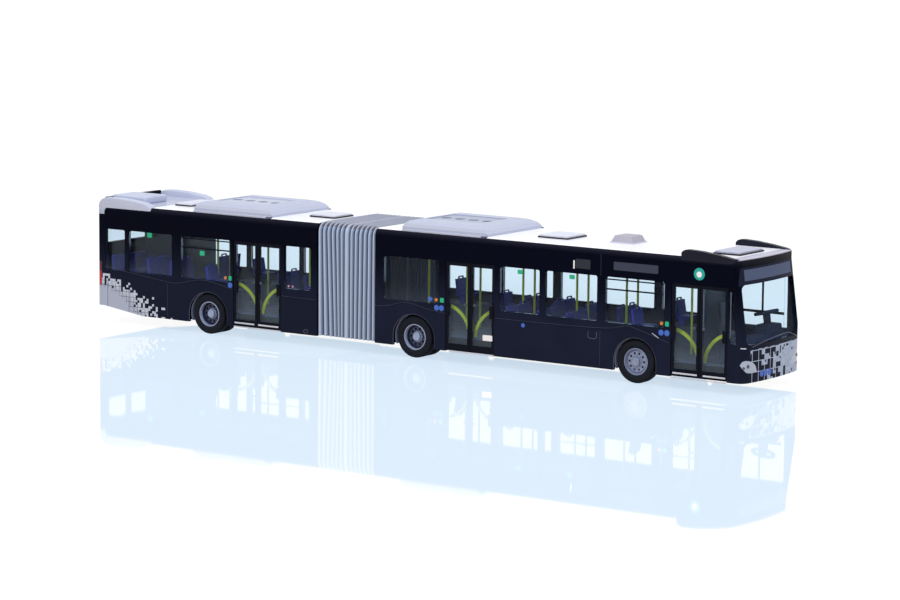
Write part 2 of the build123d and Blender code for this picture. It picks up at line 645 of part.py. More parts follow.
# The back bench on the podium, three places wide, with the engine tower beside it
bench_step = 1.2
bench_length = 9.0
bench_places = 3
bench_pitch = seat_width + seat_gap
bench_inner_y = -seat_outer_y + bench_places * bench_pitch - seat_gap
with BuildPart() as back_bench:
    with BuildSketch(Plane.XY.offset(podium_z)):
        with Locations((podium_back + bench_length / 2, (bench_inner_y - seat_outer_y) / 2)):
            Rectangle(bench_length, bench_inner_y + seat_outer_y)
    extrude(amount=bench_step)
    for place in range(bench_places):
        with BuildSketch(Plane.XZ.offset(seat_outer_y - seat_width - bench_pitch * place)):
            with BuildLine():
                Polyline([(podium_back + seat_length * x,
                           podium_z + bench_step + (seat_height - bench_step) * z)
                          for x, z in seat_profile_shares], close=True)
            make_face()
        extrude(amount=seat_width)
back_bench.part.label = "back_bench"
export_step(back_bench.part, "parts/back_bench.step")

tower_length = 16.8
tower_z = 31.0
tower_inner_y = bench_inner_y + seat_gap
with BuildPart() as engine_tower:
    with BuildSketch(Plane.XY.offset(podium_z)):
        with Locations((podium_back + tower_length / 2, (tower_inner_y + floor_half) / 2)):
            Rectangle(tower_length, floor_half - tower_inner_y)
    extrude(amount=tower_z - podium_z)
engine_tower.part.label = "engine_tower"
export_step(engine_tower.part, "parts/engine_tower.step")

# Poles from floor to roof beside the aisle, with a rail along each row of them
pole_radius = 0.3
rail_z = 27.6
roof_under_z = roof_z - roof_wall
pole_y = seat_inner_y - seat_gap - pole_radius
rail_y = pole_y + 2 * pole_radius + fit_gap
# share of the car's side, 1 left or -1 right
front_poles = ((0.2, -1), (0.365, -1), (0.52, -1), (0.66, -1), (0.84, -1),
               (0.05, 1), (0.205, 1), (0.365, 1), (0.52, 1), (0.66, 1))
rear_poles = ((0.42, -1), (0.60, -1), (0.85, -1), (0.42, 1), (0.60, 1), (0.85, 1))
pole_sets = (
    ("front_handrails", front_car_back, front_span, front_poles),
    ("rear_handrails", tail_front, rear_span, rear_poles),
)
for name, back, span, places in pole_sets:
    with BuildPart() as handrails:
        for along, side in places:
            with BuildSketch(Plane.XY.offset(floor_z)):
                with Locations((back + span * along, side * pole_y)):
                    Circle(pole_radius)
            extrude(amount=roof_under_z - floor_z)
        for row in (1, -1):
            rows = [along for along, side in places if side == row]
            with BuildSketch(Plane.YZ.offset(back + span * min(rows))):
                with Locations((row * rail_y, rail_z)):
                    Circle(pole_radius)
            extrude(amount=span * (max(rows) - min(rows)))
    handrails.part.label = name
    export_step(handrails.part, f"parts/{name}.step")

# Grab arcs inside the door leaves
arc_width = 0.85
arc_thickness = 0.35
arc_high_z = 14.6
arc_low_z = 7.0
arc_out_share = 0.35
arc_up_share = 0.68
arc_sets = (
    ("front_door_rails", ((front_car_back, front_span, front_door_shares),
                          (front_car_back, front_span, middle_door_shares))),
    ("rear_door_rails", ((tail_front, rear_span, rear_door_shares),)),
)
for name, doors in arc_sets:
    with BuildPart() as door_rails:
        for back, span, (start, end) in doors:
            middle = back + span * (start + end) / 2
            reach = span * (end - start) / 2 - stile - leaf_gap
            near = stile + leaf_gap
            for direction in (1, -1):
                with BuildSketch(Plane.XZ.offset(inner_y - glass_sheet - arc_thickness)):
                    with BuildLine() as arc:
                        ThreePointArc((middle + direction * near, arc_low_z),
                                      (middle + direction * (near + (reach - near) * arc_out_share),
                                       arc_low_z + (arc_high_z - arc_low_z) * arc_up_share),
                                      (middle + direction * reach, arc_high_z))
                    trace(arc.line, arc_width)
                extrude(amount=arc_thickness)
    door_rails.part.label = name
    export_step(door_rails.part, f"parts/{name}.step")

# Driver's place: dashboard with its binnacle and wheel, seat and the partition behind it
dash_length = 6.2
dash_z = 13.0
dash_inset = 1.05
dash_half = inner_y - dash_inset
dash_front = front_x - nose_bow - nose_radius + wall
# share of the dashboard's length, share of its height
dash_profile_shares = ((0.0, 0.0), (1.0, 0.0), (1.0, 0.83), (0.67, 1.0), (0.20, 1.0), (0.0, 0.67))
driver_y = 6.6
binnacle_half = 3.9
binnacle_rise = 2.2
binnacle_radius = 0.9
binnacle_length = 3.4
wheel_setback = 0.9
wheel_x = nose_back - wheel_setback
wheel_z = 18.0
wheel_radius = 3.1
wheel_bar = 0.32
wheel_tilt = 14.0
column_x = dash_front - dash_length / 2
with BuildPart() as dashboard:
    with BuildSketch(Plane.XZ.offset(-dash_half)):
        with BuildLine():
            Polyline([(dash_front + dash_length * (x - 1), floor_z + (dash_z - floor_z) * z)
                      for x, z in dash_profile_shares], close=True)
        make_face()
    extrude(amount=2 * dash_half)
    with BuildSketch(Plane.YZ.offset(column_x - binnacle_length / 2)):
        with Locations((driver_y, dash_z)):
            RectangleRounded(2 * binnacle_half, 2 * binnacle_rise, binnacle_radius)
        with Locations((driver_y, dash_z - binnacle_rise)):
            Rectangle(2 * binnacle_half, 2 * binnacle_rise, mode=Mode.SUBTRACT)
    extrude(amount=binnacle_length)
    wheel_plane = Plane(origin=(wheel_x, driver_y, wheel_z), x_dir=(0, 1, 0),
                        z_dir=(-sin(radians(wheel_tilt)), 0, cos(radians(wheel_tilt))))
    with BuildSketch(wheel_plane.offset(-wheel_bar)):
        Circle(wheel_radius)
        Circle(wheel_radius - 2 * wheel_bar, mode=Mode.SUBTRACT)
        Rectangle(2 * wheel_radius - wheel_bar, 2 * wheel_bar)
        Circle(2 * wheel_bar)
    extrude(amount=2 * wheel_bar)
    with BuildLine():
        column_line = Line((wheel_x, driver_y, wheel_z), (column_x, driver_y, dash_z))
    with BuildSketch(Plane(origin=(wheel_x, driver_y, wheel_z), z_dir=column_line % 0)):
        Circle(2 * wheel_bar)
    sweep()
dashboard.part.label = "dashboard"
export_step(dashboard.part, "parts/dashboard.step")

driver_setback = 11.1
driver_seat_height = 12.6
driver_seat_x = nose_back - driver_setback
with BuildPart() as driver_seat:
    with BuildSketch(Plane.XZ.offset(-driver_y - seat_width / 2)):
        with BuildLine():
            Polyline([(driver_seat_x + seat_length * (x - 1 / 2), floor_z + driver_seat_height * z)
                      for x, z in seat_profile_shares], close=True)
        make_face()
    extrude(amount=seat_width)
driver_seat.part.label = "driver_seat"
export_step(driver_seat.part, "parts/driver_seat.step")

partition_setback = 16.5
partition_x = nose_back - partition_setback
partition_thickness = 0.5
partition_top_z = 29.0
with BuildPart() as cab_partition:
    with BuildSketch(Plane.YZ.offset(partition_x)):
        with Locations((floor_half / 2, (floor_z + partition_top_z) / 2)):
            Rectangle(floor_half, partition_top_z - floor_z)
    extrude(amount=partition_thickness)
cab_partition.part.label = "cab_partition"
export_step(cab_partition.part, "parts/cab_partition.step")

# Air conditioners: long housings with rounded shoulders, and fans in a sunken top
unit_height = 2.6
unit_inset = 1.65
unit_half_width = side_y - unit_inset
unit_length = 26.8
# share of the half width, share of the height
unit_section_shares = ((1.0, 0.0), (1.0, 0.34), (0.965, 0.66), (0.90, 0.90), (0.81, 1.0))
# share of the length, share of the height
unit_profile_shares = ((0.0, 0.0), (0.0, 0.34), (0.018, 0.66), (0.045, 0.90), (0.08, 1.0),
                       (0.80, 1.0), (0.90, 0.84), (0.965, 0.58), (1.0, 0.26), (1.0, 0.0))
panel_depth = 0.25
panel_half_width = 6.6
panel_start_share = 0.11
panel_end_share = 0.76
fan_radius = 1.5
fan_depth = 0.5
fan_count = 4
unit_places = (
    # name, back end as a share of its car's side, back of the car, span of the car
    ("front_air_conditioner", 0.071, front_car_back, front_span),
    ("rear_air_conditioner", 0.417, tail_front, rear_span),
)
for name, along, back, span in unit_places:
    unit_back = back + span * along
    unit_top_z = roof_z + unit_height
    panel_length = unit_length * (panel_end_share - panel_start_share)
    panel_middle = unit_back + unit_length * (panel_end_share + panel_start_share) / 2
    right_half = [(unit_half_width * out, roof_z + unit_height * up) for out, up in unit_section_shares]
    left_half = [(-out, up) for out, up in reversed(right_half)]
    with BuildPart() as unit:
        with BuildSketch(Plane.XZ.offset(-unit_half_width)):
            with BuildLine():
                Polyline([(unit_back + unit_length * x, roof_z + unit_height * z)
                          for x, z in unit_profile_shares], close=True)
            make_face()
        extrude(amount=2 * unit_half_width)
        with BuildSketch(Plane.YZ.offset(unit_back)):
            with BuildLine():
                Polyline(right_half + left_half, close=True)
            make_face()
        extrude(amount=unit_length, mode=Mode.INTERSECT)
        with BuildSketch(Plane.XY.offset(unit_top_z - panel_depth)):
            with Locations((panel_middle, 0)):
                Rectangle(panel_length, 2 * panel_half_width)
        extrude(amount=panel_depth, mode=Mode.SUBTRACT)
        with BuildSketch(Plane.XY.offset(unit_top_z - panel_depth - fan_depth)):
            with Locations((panel_middle, 0)):
                with GridLocations(panel_length / fan_count, 0, fan_count, 1):
                    Circle(fan_radius)
        extrude(amount=fan_depth, mode=Mode.SUBTRACT)
    unit.part.label = name
    export_step(unit.part, f"parts/{name}.step")

# Roof hatches: a flat lid on a slightly wider rim
hatch_height = 0.75
hatch_rim = 0.35
hatch_radius = 0.8
hatch_inset = 0.35
hatch_sets = (
    # name, back of the car, span of the car, hatches as start share, end share, share of the half width
    ("front_roof_hatches", front_car_back, front_span, ((0.415, 0.504, 0.34), (0.911, 0.986, 0.44))),
    ("rear_roof_hatches", tail_front, rear_span, ((0.86, 0.98, 0.31),)),
)
for name, back, span, places in hatch_sets:
    with BuildPart() as hatches:
        for start, end, across in places:
            with BuildSketch(Plane.XY.offset(roof_z)):
                with Locations((back + span * (start + end) / 2, 0)):
                    RectangleRounded(span * (end - start), 2 * side_y * across, hatch_radius)
            extrude(amount=hatch_rim)
            with BuildSketch(Plane.XY.offset(roof_z + hatch_rim)):
                with Locations((back + span * (start + end) / 2, 0)):
                    RectangleRounded(span * (end - start) - 2 * hatch_inset,
                                     2 * (side_y * across - hatch_inset), hatch_radius)
            extrude(amount=hatch_height - hatch_rim)
    hatches.part.label = name
    export_step(hatches.part, f"parts/{name}.step")

# Roof vent: a flange and a four-sided hood
vent_place_share = 0.637
vent_x = front_car_back + front_span * vent_place_share
vent_length = 7.4
vent_half_width = 5.0
vent_flange = 0.3
vent_height = 1.7
vent_taper = 1.5
with BuildPart() as roof_vent:
    with BuildSketch(Plane.XY.offset(roof_z)):
        with Locations((vent_x, 0)):
            Rectangle(vent_length, 2 * vent_half_width)
    extrude(amount=vent_flange)
    with BuildSketch(Plane.XY.offset(roof_z + vent_flange)):
        with Locations((vent_x, 0)):
            Rectangle(vent_length - vent_flange, 2 * vent_half_width - vent_flange)
    with BuildSketch(Plane.XY.offset(roof_z + vent_height)):
        with Locations((vent_x, 0)):
            Rectangle(vent_length - 2 * vent_taper, 2 * (vent_half_width - vent_taper))
    loft()
roof_vent.part.label = "roof_vent"
export_step(roof_vent.part, "parts/roof_vent.step")

# Fairings on the edges of the front roof, and the shroud over the engine at the tail
fairing_length = 15.8
fairing_overhang = 2.1
fairing_rise = 1.6
fairing_inset = 0.2
fairing_width = 1.55
fairing_front = nose_back + fairing_overhang
fairing_back = fairing_front - fairing_length
fairing_outer_y = side_y - fairing_inset
fairing_inner_y = fairing_outer_y - fairing_width
# share of the fairing's length, share of its rise
fairing_profile_shares = ((0.0, 0.0), (0.0, 0.45), (0.03, 0.78), (0.08, 0.97), (0.14, 1.0), (0.37, 0.88),
                          (0.66, 0.55), (1.0, 0.0))
with BuildPart() as roof_fairings:
    for direction in (1, -1):
        near_y = fairing_inner_y if direction == 1 else -fairing_outer_y
        with BuildSketch(Plane.XZ.offset(-near_y)):
            with BuildLine():
                Polyline([(fairing_back + (fairing_front - fairing_back) * x, roof_z + fairing_rise * z)
                          for x, z in fairing_profile_shares]
                         + [(fairing_front, cant_z), (fairing_back, cant_z)], close=True)
            make_face()
        extrude(amount=fairing_inner_y - fairing_outer_y)
    extrude(nose_plan(*nose_profile_shares[-1], fairing_inset, front_car_back),
            amount=roof_z + fairing_rise - cant_z, mode=Mode.INTERSECT)
    extrude(roof_section(front_car_back, 0), amount=front_x - front_car_back, mode=Mode.SUBTRACT)
roof_fairings.part.label = "roof_fairings"
export_step(roof_fairings.part, "parts/roof_fairings.step")

shroud_length = 22.5
shroud_rise = 1.9
shroud_inset = 0.2
shroud_width = 2.85
shroud_outer_y = side_y - shroud_inset
shroud_inner_y = shroud_outer_y - shroud_width
shroud_setback = 2.0
shroud_back = tail_x + shroud_setback
shroud_box_back = 3.6
shroud_box_length = 12.0
shroud_box_far_y = 1.0
shroud_box_near_y = -8.4
shroud_box_height = 1.8
shroud_box_radius = 0.7
# share of the shroud's length, share of its rise
shroud_profile_shares = ((0.0, 0.35), (0.06, 0.75), (0.16, 1.0), (0.45, 0.86), (0.75, 0.5), (0.94, 0.1),
                         (1.0, 0.0))
with BuildPart() as tail_shroud:
    for direction in (1, -1):
        near_y = shroud_inner_y if direction == 1 else -shroud_outer_y
        with BuildSketch(Plane.XZ.offset(-near_y)):
            with BuildLine():
                Polyline([(shroud_back + shroud_length * x, roof_z + shroud_rise * z)
                          for x, z in shroud_profile_shares]
                         + [(shroud_back + shroud_length, cant_z), (shroud_back, cant_z)], close=True)
            make_face()
        extrude(amount=shroud_inner_y - shroud_outer_y)
    extrude(roof_section(tail_x, 0), amount=rear_car_front - tail_x, mode=Mode.SUBTRACT)
    with BuildSketch(Plane.XY.offset(roof_z)):
        with Locations((shroud_back + shroud_box_back + shroud_box_length / 2,
                        (shroud_box_near_y + shroud_box_far_y) / 2)):
            RectangleRounded(shroud_box_length, shroud_box_far_y - shroud_box_near_y, shroud_box_radius)
    extrude(amount=shroud_box_height)
tail_shroud.part.label = "tail_shroud"
export_step(tail_shroud.part, "parts/tail_shroud.step")

# Wheelsets: an axle, two rims and the tyres
rim_lip = 0.35
rim_dish = 0.9
hub_radius = 1.15
hub_length = 1.3
disc_thickness = 0.5
vent_hole_radius = 0.3
vent_hole_circle = 2.05
vent_hole_count = 10
tyre_shoulder = 0.6
wheelset_sets = (
    # name, axle place, tyres on each side, how far the wheel disc lies inside the rim's edge
    ("front", front_axle_x, 1, rim_dish),
    ("middle", middle_axle_x, 2, 2 * rim_dish),
    ("rear", rear_axle_x, 2, 2 * rim_dish),
)
for name, axle_x, tyres, dish in wheelset_sets:
    rim_width = tyre_width * tyres + twin_gap * (tyres - 1)
    with BuildPart() as axle:
        with BuildSketch(Plane.XZ.offset(-tyre_outer_y + rim_dish)):
            with Locations((axle_x, hub_z)):
                Circle(axle_radius)
        extrude(amount=2 * (tyre_outer_y - rim_dish))
    axle.part.label = f"{name}_axle"
    export_step(axle.part, f"parts/{name}_axle.step")
    with BuildPart() as rims:
        for side in (1, -1):
            face = Plane(origin=(axle_x, side * tyre_outer_y, hub_z), x_dir=(1, 0, 0), z_dir=(0, side, 0))
            with BuildSketch(face.offset(-rim_width)):
                Circle(rim_radius)
                Circle(rim_radius - rim_wall, mode=Mode.SUBTRACT)
            extrude(amount=rim_width)
            with BuildSketch(face.offset(-dish - disc_thickness)):
                Circle(rim_radius - rim_wall / 2)
                Circle(axle_radius, mode=Mode.SUBTRACT)
                with PolarLocations(vent_hole_circle, vent_hole_count):
                    Circle(vent_hole_radius, mode=Mode.SUBTRACT)
            extrude(amount=disc_thickness)
            with BuildSketch(face.offset(-dish)):
                Circle(hub_radius)
                Circle(axle_radius, mode=Mode.SUBTRACT)
            extrude(amount=hub_length / 2)
    rims.part.label = f"{name}_rims"
    export_step(rims.part, f"parts/{name}_rims.step")
    with BuildPart() as tyre_pair:
        for side in (1, -1):
            for row in range(tyres):
                outer = tyre_outer_y - row * (tyre_width + twin_gap)
                with BuildSketch(Plane(origin=(axle_x, 0, hub_z), x_dir=(0, side, 0), z_dir=(-side, 0, 0))):
                    with BuildLine():
                        Polyline((outer - tyre_width, rim_radius), (outer, rim_radius),
                                 (outer, tyre_radius - tyre_shoulder), (outer - tyre_shoulder, tyre_radius),
                                 (outer - tyre_width + tyre_shoulder, tyre_radius),
                                 (outer - tyre_width, tyre_radius - tyre_shoulder), close=True)
                    make_face()
                revolve(axis=Axis((axle_x, 0, hub_z), (0, 1, 0)))
    tyre_pair.part.label = f"{name}_tyres"
    export_step(tyre_pair.part, f"parts/{name}_tyres.step")
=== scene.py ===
import math

import bmesh
import bpy
from mathutils import Matrix, Vector


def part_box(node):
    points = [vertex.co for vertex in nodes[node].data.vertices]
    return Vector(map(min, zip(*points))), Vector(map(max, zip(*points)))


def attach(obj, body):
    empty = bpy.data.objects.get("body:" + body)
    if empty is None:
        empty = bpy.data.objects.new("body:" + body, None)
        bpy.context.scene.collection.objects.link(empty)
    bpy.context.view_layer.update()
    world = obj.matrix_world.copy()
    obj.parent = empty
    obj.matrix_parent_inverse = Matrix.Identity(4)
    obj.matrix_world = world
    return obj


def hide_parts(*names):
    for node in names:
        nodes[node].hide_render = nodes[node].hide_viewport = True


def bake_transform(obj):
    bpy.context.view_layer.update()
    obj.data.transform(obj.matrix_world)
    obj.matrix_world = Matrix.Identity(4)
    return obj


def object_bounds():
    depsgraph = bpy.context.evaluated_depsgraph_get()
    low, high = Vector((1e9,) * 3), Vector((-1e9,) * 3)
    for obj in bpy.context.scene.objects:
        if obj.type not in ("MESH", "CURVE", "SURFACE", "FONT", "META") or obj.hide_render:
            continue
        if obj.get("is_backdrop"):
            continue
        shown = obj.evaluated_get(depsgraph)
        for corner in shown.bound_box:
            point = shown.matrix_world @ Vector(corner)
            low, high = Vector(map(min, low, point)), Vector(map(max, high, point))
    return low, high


# Collector's model of an articulated city bus, scale 1 to 87
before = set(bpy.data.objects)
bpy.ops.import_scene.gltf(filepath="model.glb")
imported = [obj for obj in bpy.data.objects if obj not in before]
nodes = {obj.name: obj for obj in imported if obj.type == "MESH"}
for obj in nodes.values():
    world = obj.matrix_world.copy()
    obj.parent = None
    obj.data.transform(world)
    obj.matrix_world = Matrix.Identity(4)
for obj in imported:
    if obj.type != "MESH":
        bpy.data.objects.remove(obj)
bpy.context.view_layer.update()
mm = 0.001
print("frame loaded:", len(nodes), "nodes")


def clearSelection():
    if bpy.context.mode != "OBJECT":
        bpy.ops.object.mode_set(mode="OBJECT")
    bpy.ops.object.select_all(action="DESELECT")


def holdPiece(piece):
    # this piece alone is selected and active
    clearSelection()
    piece.select_set(True)
    bpy.context.view_layer.objects.active = piece


def openMesh(piece, kind="FACE"):
    # edit mode on this piece, with nothing picked
    holdPiece(piece)
    bpy.ops.object.mode_set(mode="EDIT")
    bpy.ops.mesh.select_mode(type=kind)
    bpy.ops.mesh.select_all(action="DESELECT")


def pickFaces(piece, test):
    # places in mm, so that the tests read like a drawing
    cage = bmesh.from_edit_mesh(piece.data)
    for face in cage.faces:
        face.select_set(bool(test(face.calc_center_median() / mm, face.normal)))
    cage.select_flush_mode()
    bmesh.update_edit_mesh(piece.data)


def pickEdges(piece, test):
    cage = bmesh.from_edit_mesh(piece.data)
    for edge in cage.edges:
        edge.select_set(bool(test(edge.verts[0].co / mm, edge.verts[1].co / mm)))
    bmesh.update_edit_mesh(piece.data)


def pickPoints(piece, test):
    cage = bmesh.from_edit_mesh(piece.data)
    for point in cage.verts:
        point.select_set(bool(test(point.co / mm)))
    cage.select_flush_mode()
    bmesh.update_edit_mesh(piece.data)


def closeMesh():
    bpy.ops.object.mode_set(mode="OBJECT")


def activePiece(name):
    piece = bpy.context.active_object
    piece.name = name
    bpy.ops.object.transform_apply(location=True, rotation=True, scale=True)
    return piece


def bevelAll(piece, size, segments=2):
    openMesh(piece, "EDGE")
    bpy.ops.mesh.select_all(action="SELECT")
    bpy.ops.mesh.bevel(offset=size * mm, segments=segments, affect="EDGES")
    closeMesh()


def addBlock(name, low, high, rounding=0, segments=2):
    # a block between two corners, in mm, with its edges rounded
    clearSelection()
    size = [abs(b - a) * mm for a, b in zip(low, high)]
    middle = [(a + b) / 2 * mm for a, b in zip(low, high)]
    bpy.ops.mesh.primitive_cube_add(size=1, location=middle, scale=size)
    piece = activePiece(name)
    if rounding:
        bevelAll(piece, rounding, segments)
    return piece


def addDisc(name, centre, radius, depth, sides=32, across=(math.pi / 2, 0, 0)):
    clearSelection()
    bpy.ops.mesh.primitive_cylinder_add(vertices=sides, radius=radius * mm, depth=depth * mm,
                                        location=[c * mm for c in centre], rotation=across)
    return activePiece(name)


def addButton(name, centre, radius, thick, rim, rise, sides=28):
    # a disc facing the door side, whose middle stands a little proud of its rim
    button = addDisc(name, centre, radius, thick, sides)
    openMesh(button)
    pickFaces(button, lambda c, n: n.y < -0.9)
    bpy.ops.mesh.inset(thickness=rim * mm, depth=rise * mm)
    closeMesh()
    return button


def addWire(name, row, thick):
    # a round strand through the given places
    clearSelection()
    bpy.ops.curve.primitive_bezier_curve_add()
    strand = bpy.context.active_object
    strand.data.splines.clear()
    line = strand.data.splines.new("NURBS")
    line.points.add(len(row) - 1)
    for point, place in zip(line.points, row):
        point.co = [c * mm for c in place] + [1]
    line.order_u = 3
    line.use_endpoint_u = True
    strand.data.bevel_depth = thick / 2 * mm
    strand.data.bevel_resolution = 2
    strand.data.use_fill_caps = True
    bpy.ops.object.convert(target="MESH")
    piece = activePiece(name)
    smooth(piece, 60)
    return piece


def joinPieces(name, parts):
    clearSelection()
    for part in parts:
        part.select_set(True)
    bpy.context.view_layer.objects.active = parts[0]
    bpy.ops.object.join()
    parts[0].name = name
    return parts[0]


def copyPiece(piece, name, shift=(0, 0, 0), turn=None):
    other = piece.copy()
    other.data = piece.data.copy()
    other.name = name
    bpy.context.collection.objects.link(other)
    move = Matrix.Translation(Vector(shift) * mm)
    other.data.transform(move @ turn if turn else move)
    return other


def applyModifiers(piece):
    holdPiece(piece)
    for step in list(piece.modifiers):
        bpy.ops.object.modifier_apply(modifier=step.name)


def smooth(piece, angle=35):
    holdPiece(piece)
    bpy.ops.object.shade_smooth_by_angle(angle=math.radians(angle))


def dress(piece, material, body):
    piece.data.materials.clear()
    piece.data.materials.append(material)
    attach(piece, body)


# materials


def linear(code):
    parts = [int(code[i:i + 2], 16) / 255 for i in (1, 3, 5)]
    return [c / 12.92 if c <= 0.04045 else ((c + 0.055) / 1.055) ** 2.4 for c in parts] + [1.0]


def addNode(tree, kind, inputs=(), **settings):
    # inputs go by place or by name, and each is a value or the output of another node
    node = tree.nodes.new("ShaderNode" + kind)
    for name, value in settings.items():
        setattr(node, name, value)
    for name, value in inputs.items() if isinstance(inputs, dict) else enumerate(inputs):
        if isinstance(value, bpy.types.NodeSocket):
            tree.links.new(value, node.inputs[name])
        else:
            node.inputs[name].default_value = value
    return node.outputs


def newMaterial(name):
    material = bpy.data.materials.new(name)
    material.use_nodes = True
    material.node_tree.nodes.clear()
    return material, material.node_tree


def placeInMm(tree, place=None):
    # x, y and z on the model, in mm
    if place is None:
        place = addNode(tree, "TexCoord")["Object"]
    parts = addNode(tree, "SeparateXYZ", (place,))
    return [addNode(tree, "Math", (part, 1 / mm), operation="MULTIPLY")[0] for part in parts]


def overlap(tree, *masks):
    # 1 only where every mask is 1
    result = masks[0]
    for mask in masks[1:]:
        result = addNode(tree, "Math", (result, mask), operation="MULTIPLY")[0]
    return result


def either(tree, *masks):
    # 1 where any of the masks is 1
    result = masks[0]
    for mask in masks[1:]:
        result = addNode(tree, "Math", (result, mask), operation="MAXIMUM")[0]
    return result


def zone(tree, value, low=None, high=None):
    # 1 where the value lies above low and below high, either of which may be left out
    tests = ((low, "GREATER_THAN"), (high, "LESS_THAN"))
    return overlap(tree, *[addNode(tree, "Math", (value, limit), operation=test)[0]
                           for limit, test in tests if limit is not None])


def paint(tree, base, *layers):
    # lays each colour over those before it, as far as its mask lets it
    for mask, colour in layers:
        pair = [linear(c) if isinstance(c, str) else c for c in (base, colour)]
        base = addNode(tree, "Mix", {0: mask, 6: pair[0], 7: pair[1]}, data_type="RGBA")[2]
    return base


def distance(tree, across, rise):
    # how far a place lies from an axis or a corner
    parts = [addNode(tree, "Math", (way, 2.0), operation="POWER")[0] for way in (across, rise)]
    total = addNode(tree, "Math", parts, operation="ADD")[0]
    return addNode(tree, "Math", (total,), operation="SQRT")[0]


def squares(tree, size, axes):
    # the corner of each square of a print and a random number for it; axes leaves out the way into the face
    place = addNode(tree, "TexCoord")["Object"]
    flat = addNode(tree, "VectorMath", (place, axes), operation="MULTIPLY")[0]
    step = addNode(tree, "VectorMath", (flat, (size * mm,) * 3), operation="SNAP")[0]
    number = addNode(tree, "TexWhiteNoise", {"Vector": step})["Value"]
    return placeInMm(tree, step), number


def insideSquare(tree, value, size, margin):
    # 0 along the thin line between two squares
    along = addNode(tree, "Math", (value, size), operation="DIVIDE")[0]
    along = addNode(tree, "Math", (along,), operation="FRACT")[0]
    return zone(tree, along, margin, 1 - margin)


# colours of what is printed on each part and of the light and shade painted on it, and its places and sizes in
# mm

# the low colours below the windows are a painted reflection of the white table on the black lacquer
bodyBlack = {"deep": "#030515", "worn": "#05071a", "low": "#171d30", "lowWorn": "#1b2136",
             "z": (12.0, 27.0), "roughness": 0.2, "specular": 0.025}
# painted reflection along the rounded top edge of the cant rails
cantSheen = {"pale": "#1a1a28", "z": (31.7, 33.1)}
silverPrint = {"plain": "#abb5cd", "bright": "#c4cde1", "line": "#565c74", "nose": "#a4b4d3",
               "noseBright": "#b9c9e8"}
tailPrint = {"square": 0.66, "backX": -103.9, "edgeX": -104.0,
             "solidZ": 11.3, "solidBend": -0.0315, "outerZ": 14.1, "outerBend": -0.0145,
             "scatter": 1.06, "power": 1.25, "holes": (-0.35, 0.0), "fewHoles": 0.88, "evenBelow": -0.1,
             "block": 1.32, "blockLine": 0.05, "lines": (-0.5, 0.3),
             "capX": -101.65, "capZ": 30.6, "cornerX": -99.6, "cornerZ": 31.1, "cornerRadius": 2.0,
             "seams": (-100.5, -92.8), "seamHalf": 0.09, "seamZ": 11.0}
maskPrint = {"large": 1.36, "small": 0.68, "topZ": 11.15, "frontX": 100.9, "blackY": -11.6, "clearY": 5.0,
             "largeShares": (0.95, 0.06), "smallShares": (0.92, 0.55), "band": 2.72, "bandLines": (0.04, 0.035),
             "displayY": (-12.0, 11.4), "displayZ": (28.15, 30.9), "display": "#52607f",
             "visor": "#1f2238", "visorZ": 27.0}
roofPrint = {"edgeZ": 33.28, "white": "#f3f4fa", "greyX": -84.5, "grey": "#b7bcd2",
             "lipX": 98.2, "lip": "#b7b6cb"}
lidPrint = {"rimZ": 33.86, "rim": "#0c0d16", "lid": "#d2d5e4", "noseX": 80.0, "noseLid": "#aeb2c6"}
ventPrint = {"flangeZ": 33.86, "flange": "#c9c9d8", "hood": "#a5a1b0"}
# deep: painted shade in the well of the deep wheels; lip: the wheels' own silver paint
rimPaintAndShade = {"well": (1.42, 3.06), "lip": "#8f9dbd", "deep": "#28304b", "axles": (4.11, -64.74), "axleZ": 5.5}
# painted highlight on the ridges and painted shade in the valleys of the bellows, by how deep each place lies
foldShading = {"flatY": 11.95, "flatZ": 31.0, "corner": 2.7, "worn": (0.85, 0.05), "topZ": 32.6, "topPower": 3.0,
             "ridge": "#acbdd9", "valley": "#505e80", "topRidge": "#abb0c0", "topValley": "#565a70"}
unitPrint = {"skin": "#b2b8ce", "panel": "#a3a9be", "rearPanel": "#b9bfd1", "fan": "#838aa1",
             "panelY": (-6.65, 6.65), "panelZ": 36.0, "fanZ": 35.7, "front": (2.1, 19.6),
             "rear": (-67.9, -50.4), "middleX": -18.0}
lensPrint = {"clear": "#a5131d", "post": "#4e1018", "postZ": 14.5}


def bodyColour(tree, low="low", high="deep"):
    # painted reflection: the lacquer is painted bluer and paler below the windows, as the reflection of the
    # white table it faces
    z = placeInMm(tree)[2]
    share = addNode(tree, "MapRange", (z, *bodyBlack["z"]), interpolation_type="SMOOTHSTEP")[0]
    return paint(tree, bodyBlack[low], (share, bodyBlack[high]))


def wornAndReflectedColour(tree):
    # the same lacquer where it is handled, with the same painted reflection of the table below the windows
    return bodyColour(tree, "lowWorn", "worn")


